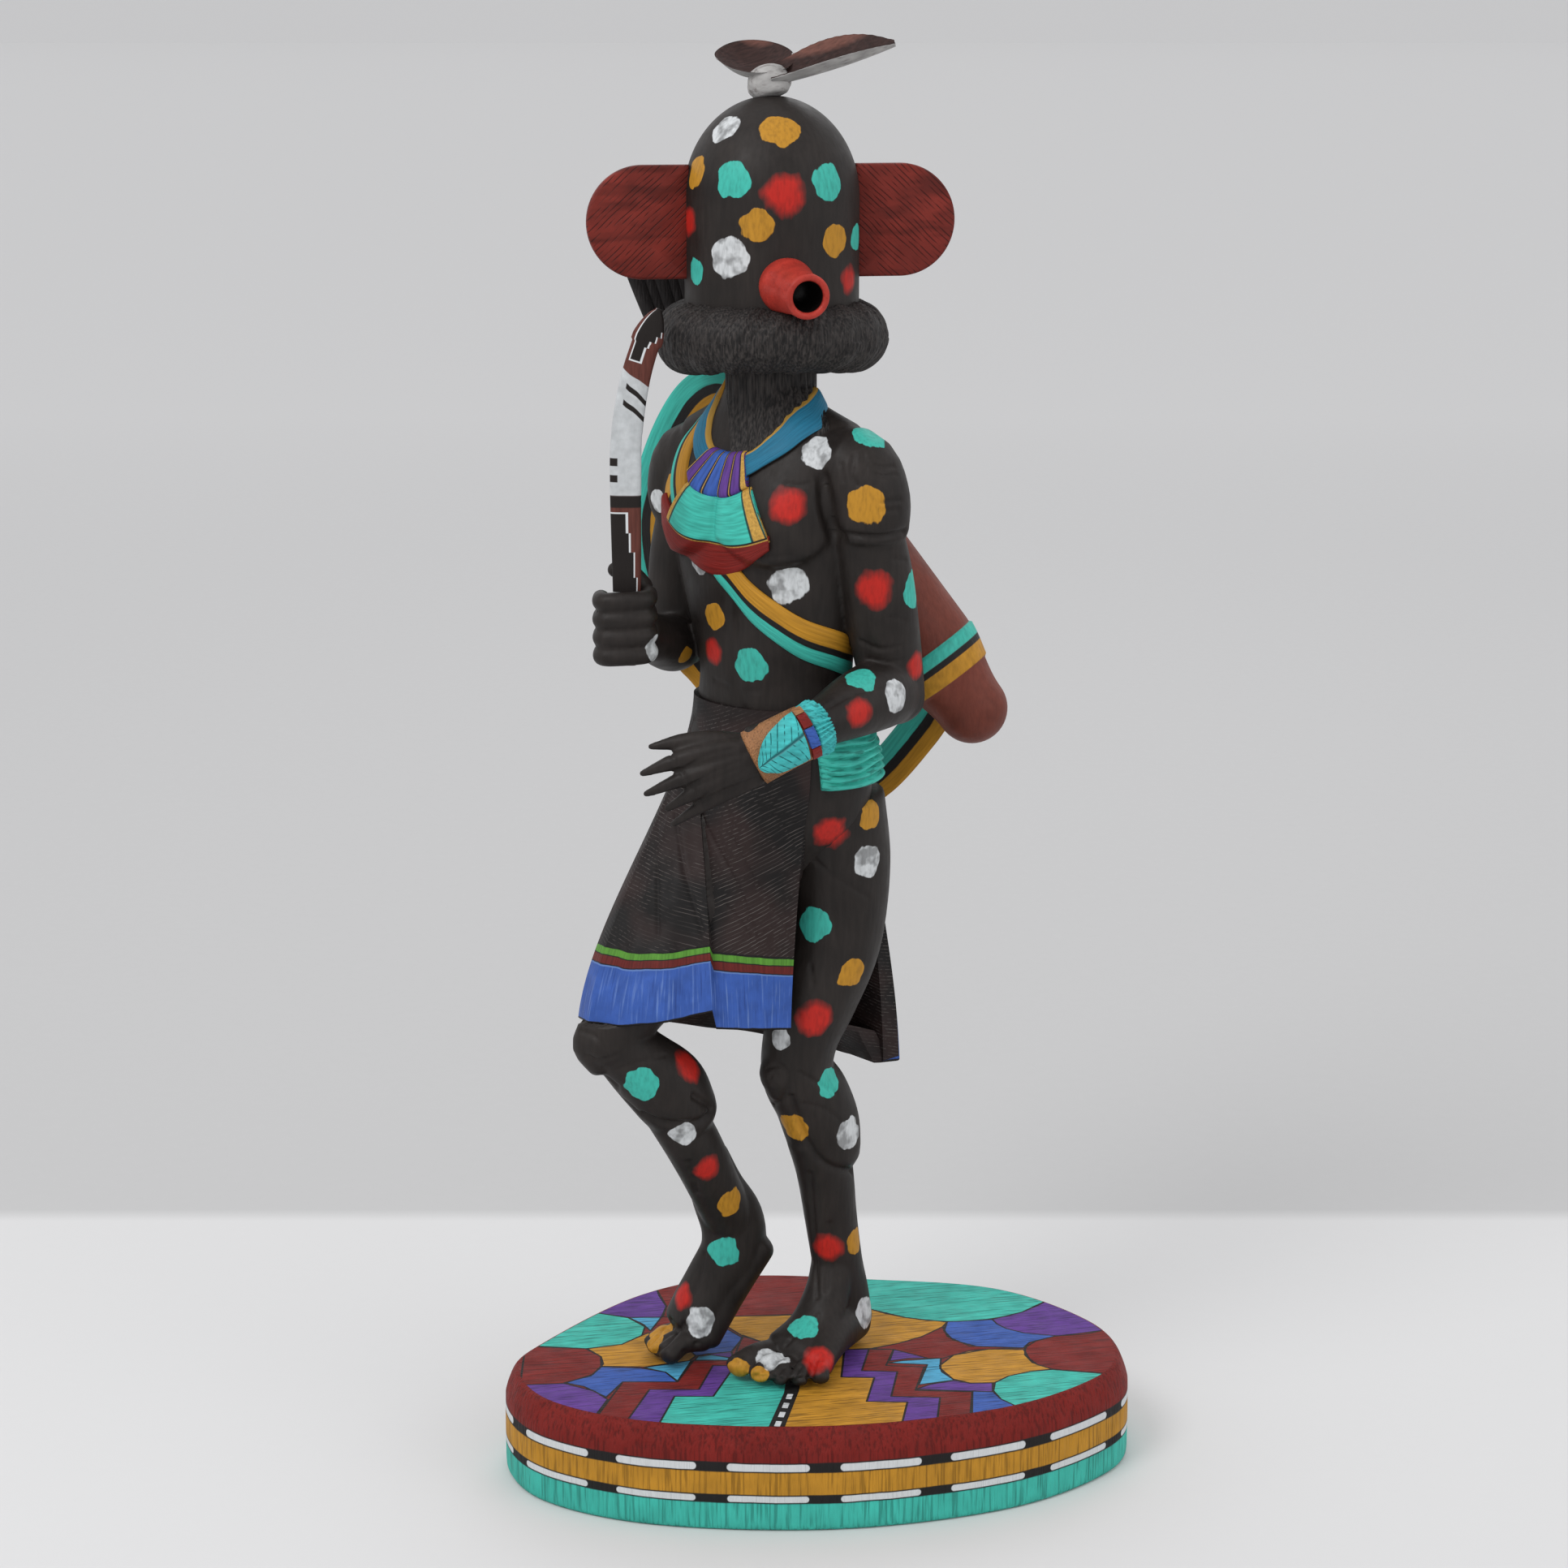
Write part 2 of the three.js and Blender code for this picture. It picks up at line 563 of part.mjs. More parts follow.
// The fur ruff: a thick roll round the foot of the mask, cut in slanting locks.
function ruff(grow = 0) {
  const stations = 36;
  const sides = 8;
  const locks = 18;
  const halfThick = ruffThickness / 2 + grow;
  const reach = ruffReach - ruffThickness / 2;
  const places = [];
  const faces = [];
  for (let i = 0; i < stations; i += 1) {
    const turn = (2 * Math.PI * i) / stations;
    const out = headLeft.clone().multiplyScalar(Math.cos(turn)).addScaledVector(headFront, Math.sin(turn));
    const frontShare = Math.max(0, Math.sin(turn));
    for (let j = 0; j < sides; j += 1) {
      const roll = (2 * Math.PI * j) / sides;
      const lock = 1 + 0.035 * Math.cos(locks * turn + 2.2 * roll);
      const point = headAxis(ruffHeight + frontShare * 1.6 + halfThick * lock * Math.sin(roll) * (1 - 0.1 * frontShare));
      point.addScaledVector(out, size(reach + halfThick * lock * Math.cos(roll)));
      places.push(point.x, point.y, point.z);
      const nextI = (i + 1) % stations;
      const nextJ = (j + 1) % sides;
      const [a, b, c, d] = [i * sides + j, nextI * sides + j, nextI * sides + nextJ, i * sides + nextJ];
      faces.push(a, c, b, a, d, c);
    }
  }
  const roll = solidFrom(places, faces);
  const core = limb([[headX, 0, ruffHeight - 9, reach, reach], [headX, 0, ruffHeight + 6, reach, reach]], {
    sides: 16, ends: [0.05, 0.05],
  });
  return roll.add(core);
}

// Ears: flat paddles with round ends on both sides of the mask.
function ear(direction) {
  const half = size(earHeight) / 2;
  const straight = size(earReach) - half;
  const outline = new THREE.Shape();
  outline.moveTo(size(maskRadius) * 0.8, -half);
  outline.lineTo(straight, -half);
  outline.absarc(straight, 0, half, -Math.PI / 2, Math.PI / 2, false);
  outline.lineTo(size(maskRadius) * 0.8, half);
  outline.closePath();
  const across = headLeft.clone().multiplyScalar(direction);
  return slab(outline, size(earThickness), headAxis(maskTop - earDrop), across, up, 12).subtract(maskShape(restGap));
}

// Snout: a turned tube with a flared root and a blind bore, low on the front of the mask.
const snoutTurn = 8;
const snoutDip = 6;
const snoutSeat = [-4, ruffHeight + snoutLift];
function snoutShape(grow = 0) {
  const root = size(maskRadius) - 3;
  const tip = size(maskRadius) + size(snoutLength) + grow;
  const radius = size(snoutRadius) + grow;
  const bore = size(snoutBore);
  const boreEnd = tip - size(snoutBoreDepth);
  const profile = [
    [0, root], [radius + size(snoutFlare), root], [radius + size(snoutFlare), root + 4.4],
    [radius + size(snoutFlare) * 0.35, root + 6.2],
    [radius * 0.98, root + 8], [radius, tip - 1.2], [radius - 1, tip], [bore + 0.4, tip], [bore, tip - 0.6],
    [bore, boreEnd], [0, boreEnd],
  ].map(([r, along]) => new THREE.Vector2(r, along));
  const geometry = new THREE.LatheGeometry(profile, 16);
  const aim = headFront.clone().applyAxisAngle(up, rad(snoutTurn));
  aim.setZ(-Math.tan(rad(snoutDip))).normalize();
  geometry.applyQuaternion(new THREE.Quaternion().setFromUnitVectors(new THREE.Vector3(0, 1, 0), aim));
  const seat = at(headX + snoutSeat[0], 0, snoutSeat[1]);
  geometry.translate(seat.x, seat.y, seat.z);
  return solidOf(geometry);
}

// Feathers

// A cupped feather from its root: length along, half widths by share, and how far it cups.
function feather({ root, along, cupping, length, widths, rise }) {
  const forward = along.clone().normalize();
  const across = up.clone().cross(forward).normalize();
  const over = forward.clone().cross(across);
  const steps = 6;
  const rings = [];
  for (let i = 0; i <= steps; i += 1) {
    const share = i / steps;
    const half = size(widths.getPoint(share).x);
    const line = root.clone().addScaledVector(forward, size(length) * share)
      .addScaledVector(over, size(rise) * share * share);
    const thick = size(featherThickness) * (1 - 0.35 * share) * 0.5;
    const ring = [];
    for (let j = 0; j <= 4; j += 1) {
      const s = j / 2 - 1;
      ring.push(line.clone().addScaledVector(across, half * s).addScaledVector(over, size(cupping) * s * s * half / size(10) + thick));
    }
    for (let j = 4; j >= 0; j -= 1) {
      const s = j / 2 - 1;
      ring.push(line.clone().addScaledVector(across, half * s * 0.97).addScaledVector(over, size(cupping) * s * s * half / size(10) - thick));
    }
    rings.push(ring);
  }
  return skin(rings);
}

function widthsOf(list) {
  return new THREE.CatmullRomCurve3(list.map((half) => new THREE.Vector3(half, 0, 0)));
}

function crest() {
  const knob = limb([[headX, 0, maskTop + 0.6, 5.6, 5.6], [headX, 0, maskTop + 3.2, 5, 5], [headX, 0, maskTop + 6.4, 3, 3]], {
    sides: 12, steps: 1, ends: [0.2, 0.6],
  });
  const root = at(headX, 0, maskTop + 3.6);
  const roundOne = feather({
    root,
    along: new THREE.Vector3(-0.3, 0.8, 0.52),
    cupping: 3,
    length: roundFeatherLength,
    widths: widthsOf([5, 10, 12.6, 13, 12.4, 9.4, 3]),
    rise: 1,
  });
  const longOne = feather({
    root,
    along: new THREE.Vector3(1, 0.05, 0.2),
    cupping: 2.4,
    length: longFeatherLength,
    widths: widthsOf([3.4, 5, 7.4, 8.4, 7.6, 4.8, 0.8]),
    rise: 3,
  });
  return joined([knob, roundOne, longOne]).subtract(maskShape(restGap));
}

// The dark feather fan behind the mask: flat ribs side by side that spread from the nape.
function headFan() {
  const ribs = 7;
  const overlap = 0.72;
  const [footSpan, topSpan] = [43, 56];
  const blades = [];
  for (let i = 0; i < ribs; i += 1) {
    const share = i / (ribs - 1);
    const footX = headX - 39 + footSpan * share;
    const topX = headX - 50 + topSpan * share;
    const y = 30 + 12 * share + 5 * share * (1 - share) + (i % 2 ? 0.6 : 0);
    const [footHalf, topHalf] = [footSpan, topSpan].map((span) => (span / (ribs - 1)) * overlap);
    const thick = fanThickness / 2;
    blades.push(limb([
      [footX, y, ruffHeight - 3.5, footHalf, thick], [topX, y - 1, ruffHeight + 25.5, topHalf, thick * 0.8],
    ], { side: headLeft, sides: 6, ends: [0.2, 0.2] }));
  }
  return joined(blades).subtract(ruff(restGap)).subtract(maskShape(restGap));
}

// Throwing stick

// The middle line of the bent stick, [x, height], from its foot in the hand to its tip.
const stickLine = [[-65.5, 258], [-64.6, 284], [-64.6, 318], [-64, 336], [-61, 354], [-56.6, 368], [-53, 377]];
const stickDepth = -25;

function stickShape(grow = 0) {
  const line = new THREE.CatmullRomCurve3(stickLine.map(([x, h]) => at(x, stickDepth, h)));
  const rings = [];
  const steps = 13;
  const half = size(stickWidth) / 2 + grow;
  for (let i = 0; i <= steps; i += 1) {
    const share = i / steps;
    const along = line.getTangent(share);
    const across = along.clone().cross(new THREE.Vector3(0, 1, 0));
    const swell = 0.72 + 0.28 * Math.sin(Math.PI * Math.min(1, share * 1.3));
    const end = Math.sqrt(Math.max(0.04, Math.min(1, (1 - share) * 6)));
    const wide = half * (share > 0.8 ? end : swell + (share > 0.5 ? (1 - swell) * 0.6 : 0));
    const thick = size(stickThickness) / 2 + grow;
    rings.push(oval(line.getPoint(share), across, new THREE.Vector3(0, 1, 0), wide, thick, 8));
  }
  return skin(rings);
}

// Bundle and strap

const bundleLow = [54.5, 24, 232.5];
const bundleHigh = [-21, 40, ruffHeight - 32.5];

// The bundle from its low end, [share of the length, raised by a band or not].
const bundleStops = [
  [0, 0], [0.08, 0], [0.095, 0], [0.1, 1], [0.15, 1], [0.2, 1], [0.205, 0], [0.35, 0], [0.5, 0], [0.65, 0],
  [0.795, 0], [0.8, 1], [0.85, 1], [0.9, 1], [0.905, 0], [0.92, 0], [1, 0],
];

function bundleShape(grow = 0) {
  const rings = [];
  const low = at(...bundleLow);
  const high = at(...bundleHigh);
  const along = high.clone().sub(low).normalize();
  const across = left.clone().addScaledVector(along, -left.dot(along)).normalize();
  const deep = along.clone().cross(across);
  const ringAt = (centre, radius) => rings.push(oval(centre, across, deep, radius, radius, 14));
  const endRadius = size(bundleEndRadius) + grow;
  ringAt(low.clone().addScaledVector(along, -endRadius * 0.75), endRadius * 0.66);
  for (const [share, band] of bundleStops) {
    const full = THREE.MathUtils.smoothstep(Math.min(share, 1 - share), 0, 0.22);
    const radius = THREE.MathUtils.lerp(size(bundleEndRadius), size(bundleRadius), full);
    ringAt(low.clone().lerp(high, share), radius + band * size(reliefRise) + grow);
  }
  ringAt(high.clone().addScaledVector(along, endRadius * 0.75), endRadius * 0.66);
  return skin(rings, low.addScaledVector(along, -endRadius), high.addScaledVector(along, endRadius));
}

const strapRoute = [
  [-36, 20, 338], [-45, 31, 326], [-56, 41, 308], [-64, 50, 290], [-58, 58, 268], [-40, 62, 238], [-14, 63, 208],
  [8, 58, 193], [22, 50, 201], [36, 39, 220], [43, 31, 233],
];

function strapShape(grow = 0) {
  const line = new THREE.CatmullRomCurve3(strapRoute.map(([x, y, h]) => at(x, y, h)));
  const steps = 18;
  const rings = [];
  for (let i = 0; i <= steps; i += 1) {
    const share = i / steps;
    const along = line.getTangent(share);
    const out = new THREE.Vector3(0.35, 0.94, 0);
    out.addScaledVector(along, -out.dot(along)).normalize();
    const wide = along.clone().cross(out);
    const centre = line.getPoint(share);
    const [w, t] = [size(strapWidth) / 2 + grow, size(strapThickness) / 2 + grow];
    rings.push([[-w, -t], [w, -t], [w, t], [-w, t]].map(([a, b]) => (
      centre.clone().addScaledVector(wide, a).addScaledVector(out, b)
    )));
  }
  return skin(rings);
}

// Assembly

const bundle = bundleShape();
const strap = strapShape().subtract(bundleShape(restGap));
const stick = stickShape();
const fan = headFan();
const snout = snoutShape().subtract(maskShape(restGap));
const fur = ruff().subtract(snoutShape(restGap));
const dress = joined([kilt(), sash(), baldric(), collar(), pendant()]);
const body = joined([trunk(), legs(), arms(), neck(), maskShape(), fur, dress]);
const figure = body.subtract(bundleShape(restGap)).subtract(stickShape(restGap)).subtract(strapShape(restGap));

const parts = {
  base: [base(), 0x8a2a22, 0.7],
  figure: [figure, 0x2d2825, 0.75],
  left_ear: [ear(1), 0x6e1f1b, 0.6],
  right_ear: [ear(-1), 0x6e1f1b, 0.6],
  snout: [snout, 0xb02c28, 0.5],
  crest_feathers: [crest(), 0x4a2a22, 0.7],
  head_fan: [fan, 0x191716, 0.7],
  throwing_stick: [stick, 0x6b2a26, 0.6],
  back_bundle: [bundle, 0x783a2e, 0.7],
  carrying_strap: [strap, 0x2aa08c, 0.6],
};

const doll = new THREE.Group();
for (const [name, [solid, colour, roughness]] of Object.entries(parts)) {
  const material = new THREE.MeshStandardMaterial({ color: colour, roughness, metalness: 0 });
  const mesh = new THREE.Mesh(geometryOf(solid), material);
  mesh.name = name;
  doll.add(mesh);
}

export default doll;
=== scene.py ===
# %% [markdown]
# # A carved and painted wooden dancer
# The object is one carved figure with a domed mask, dressed in painted cloth, on a painted oval base.
# The imported solids give the true size and places. Every visible piece is carved again here with many more
# faces, then painted with node materials, so that the plain solids can be hidden.

# %% Load the imported solids
import math
import bmesh
import bpy
import numpy as np
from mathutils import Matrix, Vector
from mathutils.bvhtree import BVHTree
from mathutils.geometry import delaunay_2d_cdt


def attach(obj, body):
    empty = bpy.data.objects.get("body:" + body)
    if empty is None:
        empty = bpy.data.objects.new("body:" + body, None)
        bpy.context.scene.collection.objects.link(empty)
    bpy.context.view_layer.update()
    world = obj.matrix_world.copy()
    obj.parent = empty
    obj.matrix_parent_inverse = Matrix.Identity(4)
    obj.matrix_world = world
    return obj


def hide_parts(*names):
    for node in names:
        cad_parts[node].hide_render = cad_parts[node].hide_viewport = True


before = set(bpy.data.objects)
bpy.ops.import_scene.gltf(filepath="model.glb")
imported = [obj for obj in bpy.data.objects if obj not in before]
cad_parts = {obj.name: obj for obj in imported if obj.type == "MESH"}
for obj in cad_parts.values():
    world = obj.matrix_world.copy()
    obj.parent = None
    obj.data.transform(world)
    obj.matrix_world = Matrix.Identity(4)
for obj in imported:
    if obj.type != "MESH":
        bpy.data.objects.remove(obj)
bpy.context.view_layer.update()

print("solids:", sorted(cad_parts))

# %% [markdown]
# ## Camera
# The camera stands a little above the head and looks down by about 14 degrees. A long lens keeps the upright
# lines nearly parallel, as in a studio photograph. It comes first because paint spots are placed through it.

# %% Camera
MM = 0.001
FRAME_SIZE = 1932
FOCAL = 4000
TILT = math.atan(FRAME_SIZE / 2 / FOCAL)
EYE = np.array([-11.9, -1098.0, 513.0])

camera_data = bpy.data.cameras.new("camera")
camera_data.sensor_width = 36
camera_data.lens = 36 * FOCAL / FRAME_SIZE
camera = bpy.data.objects.new("camera", camera_data)
camera.location = EYE * MM
camera.rotation_euler = (math.pi / 2 - TILT, 0, 0)
bpy.context.scene.collection.objects.link(camera)
bpy.context.scene.camera = camera


def sight(u, v):
    """The direction from the eye through a place in the picture."""
    right, rise = (u - FRAME_SIZE / 2) / FOCAL, (FRAME_SIZE / 2 - v) / FOCAL
    c, s = math.cos(TILT), math.sin(TILT)
    return Vector((right, c + rise * s, -s + rise * c)).normalized()


# %% [markdown]
# ## Lofting and carving tools
# A carver roughs out limbs as tapering rods. Here a rod is a row of ovals along a smooth line. Rods are
# joined into one skin by a voxel remesh, which melts them together like wood cut from one block.

# %% Directions and places on the figure
SOLE_LEVEL = 37.3
BODY_TURN = math.radians(40)
HEAD_TURN = math.radians(-10)
left = np.array([math.cos(BODY_TURN), -math.sin(BODY_TURN), 0])
front = np.array([-math.sin(BODY_TURN), -math.cos(BODY_TURN), 0])
up = np.array([0.0, 0.0, 1.0])
head_front = np.array([-math.sin(HEAD_TURN), -math.cos(HEAD_TURN), 0])
head_left = np.array([math.cos(HEAD_TURN), -math.sin(HEAD_TURN), 0])


def at(x, y, h):
    """A place on the figure from its height above the soles, in millimetres."""
    return np.array([x, y, SOLE_LEVEL + h], float)


def smooth_line(stops, count):
    """A smooth line through rows of numbers, as count + 1 rows."""
    p = np.asarray(stops, float)
    p = np.vstack([2 * p[0] - p[1], p, 2 * p[-1] - p[-2]])
    t = np.linspace(0, len(stops) - 1, count + 1)
    i = np.minimum(t.astype(int), len(stops) - 2)
    f = (t - i)[:, None]
    a, b, c, d = p[i], p[i + 1], p[i + 2], p[i + 3]
    return 0.5 * (2 * b + (c - a) * f + (2 * a - 5 * b + 4 * c - d) * f ** 2 + (3 * b - a - 3 * c + d) * f ** 3)


def unit(v):
    """Directions of length one."""
    return v / np.linalg.norm(v, axis=-1, keepdims=True)


def walked(line):
    """The length walked along a line up to each of its points."""
    return np.concatenate([[0], np.linalg.norm(np.diff(line, axis=0), axis=1).cumsum()])


def seen(u, v, y):
    """The place at depth y that shows at u, v in the picture: x, y and height above the soles."""
    d = np.array(sight(u, v))
    p = EYE + d * ((y - EYE[1]) / d[1])
    return [p[0], y, p[2] - SOLE_LEVEL]


# %% [markdown]
# A skin joins rings of points. A limb is a skin whose rings shrink to a round cap at each end.

# %% Skins from rings
def skin(rings, caps=True, closed_ring=True):
    """Joins rings (rows, points, 3) into quads, with a fan at each end."""
    rings = np.asarray(rings, float)
    rows, n, _ = rings.shape
    verts = rings.reshape(-1, 3)
    faces = []
    span = n if closed_ring else n - 1
    for i in range(rows - 1):
        for j in range(span):
            k = (j + 1) % n
            faces.append((i * n + j, i * n + k, (i + 1) * n + k, (i + 1) * n + j))
    if caps:
        verts = np.vstack([verts, rings[0].mean(0), rings[-1].mean(0)])
        for j in range(n):
            k = (j + 1) % n
            faces.append((rows * n, k, j))
            faces.append((rows * n + 1, (rows - 1) * n + j, (rows - 1) * n + k))
    return verts, faces


def limb(stops, side=left, ends=(0.7, 0.7), around=36, spacing=2.5):
    """A rounded rod through stops of [x, y, h, half width, half depth]."""
    stops = np.asarray(stops, float)
    length = np.linalg.norm(np.diff(stops[:, :3], axis=0), axis=1).sum()
    row = smooth_line(stops, max(6, int(length / spacing)))
    line = row[:, :3] + [0, 0, SOLE_LEVEL]
    along = unit(np.gradient(line, axis=0))
    across = unit(side - along * (along @ side)[:, None])
    deep = np.cross(along, across)
    turn = np.linspace(0, 2 * math.pi, around, endpoint=False)

    def ring(i, shift, shrink):
        centre = line[i] + along[i] * shift
        return (centre + np.outer(np.cos(turn), across[i]) * row[i, 3] * shrink
                + np.outer(np.sin(turn), deep[i]) * row[i, 4] * shrink)

    cap = np.radians([78, 60, 42, 24])
    low, high = (min(row[i, 3:5]) * e for i, e in ((0, ends[0]), (-1, ends[1])))
    rings = [ring(0, -low * math.sin(a), math.cos(a)) for a in cap]
    rings += [ring(i, 0, 1) for i in range(len(line))]
    rings += [ring(-1, high * math.sin(a), math.cos(a)) for a in cap[::-1]]
    return skin(rings)


# %% [markdown]
# A remesh turns several crossing solids into one skin, and a few rounds of smoothing sand it.

# %% Mesh objects
def make_object(name, solids):
    """One mesh object, in metres, from several sets of vertices and faces."""
    verts, faces, start = [], [], 0
    for v, f in solids:
        verts.append(v)
        faces += [tuple(i + start for i in face) for face in f]
        start += len(v)
    mesh = bpy.data.meshes.new(name)
    mesh.from_pydata((np.vstack(verts) * MM).tolist(), [], faces)
    mesh.validate()
    obj = bpy.data.objects.new(name, mesh)
    bpy.context.scene.collection.objects.link(obj)
    face_outwards(obj)
    return obj


def face_outwards(obj):
    """Turns every face of a mesh outwards."""
    bm = bmesh.new()
    bm.from_mesh(obj.data)
    bmesh.ops.recalc_face_normals(bm, faces=bm.faces)
    bm.to_mesh(obj.data)
    bm.free()
    obj.data.shade_smooth()


def bake_modifiers(obj):
    """Replaces the mesh by what its modifiers make of it."""
    graph = bpy.context.evaluated_depsgraph_get()
    mesh = bpy.data.meshes.new_from_object(obj.evaluated_get(graph))
    obj.modifiers.clear()
    obj.data = mesh
    mesh.shade_smooth()


def melt(name, solids, voxel, rounds=3):
    """Melts solids into one skin and sands it."""
    obj = make_object(name, solids)
    remesh = obj.modifiers.new("melt", "REMESH")
    remesh.mode = "VOXEL"
    remesh.voxel_size = voxel * MM
    sand = obj.modifiers.new("sand", "SMOOTH")
    sand.factor = 0.5
    sand.iterations = rounds
    bake_modifiers(obj)
    print(name, len(obj.data.polygons), "faces")
    return obj


def points_of(obj, what="co"):
    """Every vertex's place, or with what="normal" its outward direction."""
    data = np.empty(len(obj.data.vertices) * 3)
    obj.data.vertices.foreach_get(what, data)
    return data.reshape(-1, 3)


def move_points(obj, places):
    """Puts every vertex in a new place, in metres."""
    obj.data.vertices.foreach_set("co", np.asarray(places).ravel())
    obj.data.update()


# %% [markdown]
# ## Cuts, swells and spots
# Small forms are added after the melt: cut lines press the surface in along a path, swells push it out.
# Spots are stored as smooth numbers on the surface, so the paint edge stays crisp between the vertices.

# %% Reaching the surface from the eye
def tree_of(obj):
    """A search tree of a mesh, for shooting rays at it."""
    graph = bpy.context.evaluated_depsgraph_get()
    return BVHTree.FromObject(obj, graph)


def touch(tree, u, v):
    """Where the sight line through a place in the picture meets a surface, in metres."""
    hit = tree.ray_cast(Vector(EYE * MM), sight(u, v))[0]
    if hit is None:
        hit = tree.find_nearest(Vector(EYE * MM) + sight(u, v) * 1.12)[0]
    return np.array(hit)


def distance_to_path(points, path):
    """How far each point lies from the nearest piece of a path."""
    best = np.full(len(points), 1e9)
    for a, b in zip(path[:-1], path[1:]):
        ab = b - a
        t = np.clip((points - a) @ ab / max(ab @ ab, 1e-12), 0, 1)
        best = np.minimum(best, np.linalg.norm(points - (a + t[:, None] * ab), axis=1))
    return best


def carve(obj, cuts):
    """Presses cut lines into the surface. Each cut is (places in the picture, width mm, depth mm)."""
    tree = tree_of(obj)
    points, normals = points_of(obj), points_of(obj, "normal")
    press = np.zeros(len(points))
    for places, width, depth in cuts:
        path = np.array([touch(tree, u, v) for u, v in smooth_line(places, 10)])
        reach = distance_to_path(points, path) / (width * MM)
        press = np.where(abs(press) > abs(depth) * np.exp(-reach ** 2), press, depth * np.exp(-reach ** 2))
    move_points(obj, points - normals * (press * MM)[:, None])


PICTURE_SCALE = 3.6  # picture dots per millimetre at the figure


def spot_fields(obj, spots, extra=()):
    """Stores, for each colour, how far inside its nearest spot every vertex lies."""
    tree = tree_of(obj)
    points = points_of(obj)
    fields = {name: np.full(len(points), -2.0) for name in ("white", "ochre", "turquoise", "red")}
    for name, u, v, wide in spots:
        centre = touch(tree, u, v)
        radius = wide / 2 / PICTURE_SCALE * MM
        fields[name] = np.maximum(fields[name], 1 - np.linalg.norm(points - centre, axis=1) / radius)
    for name, centre, radius in extra:
        gap = np.linalg.norm(points - np.asarray(centre) * MM, axis=1)
        fields[name] = np.maximum(fields[name], 1 - gap / (radius * MM))
    for name, field in fields.items():
        store(obj, name, field)


def store(obj, name, values):
    """Keeps one number for every vertex, for the paint to read."""
    attribute = obj.data.attributes.new(name, "FLOAT", "POINT")
    attribute.data.foreach_set("value", np.asarray(values, np.float32))


def store_rings(obj, name, values, ends=(0, 0)):
    """The same for a skin: first the points of its rings, then the middles of its two ends."""
    store(obj, name, np.concatenate([np.ravel(values), ends]))


# %% [markdown]
# ## Paint
# All the paint is thin and matt over burned lines, so each finish is a colour, a little mottling, fine
# strokes and a shallow bump. Small helpers keep the node code short.

# %% Node helpers
PAINTS = {
    "white": (0.60, 0.62, 0.63), "ochre": (0.46, 0.22, 0.02), "turquoise": (0.048, 0.44, 0.36),
    "red": (0.46, 0.018, 0.012), "maroon": (0.17, 0.011, 0.008), "purple": (0.105, 0.038, 0.24),
    "blue": (0.036, 0.095, 0.36), "light_blue": (0.07, 0.33, 0.52), "green": (0.085, 0.25, 0.03),
    "black": (0.012, 0.011, 0.011), "copper": (0.30, 0.14, 0.06), "gold": (0.50, 0.29, 0.06),
    "skin": (0.017, 0.0135, 0.012), "bundle": (0.15, 0.036, 0.023), "teal": (0.018, 0.155, 0.26),
}


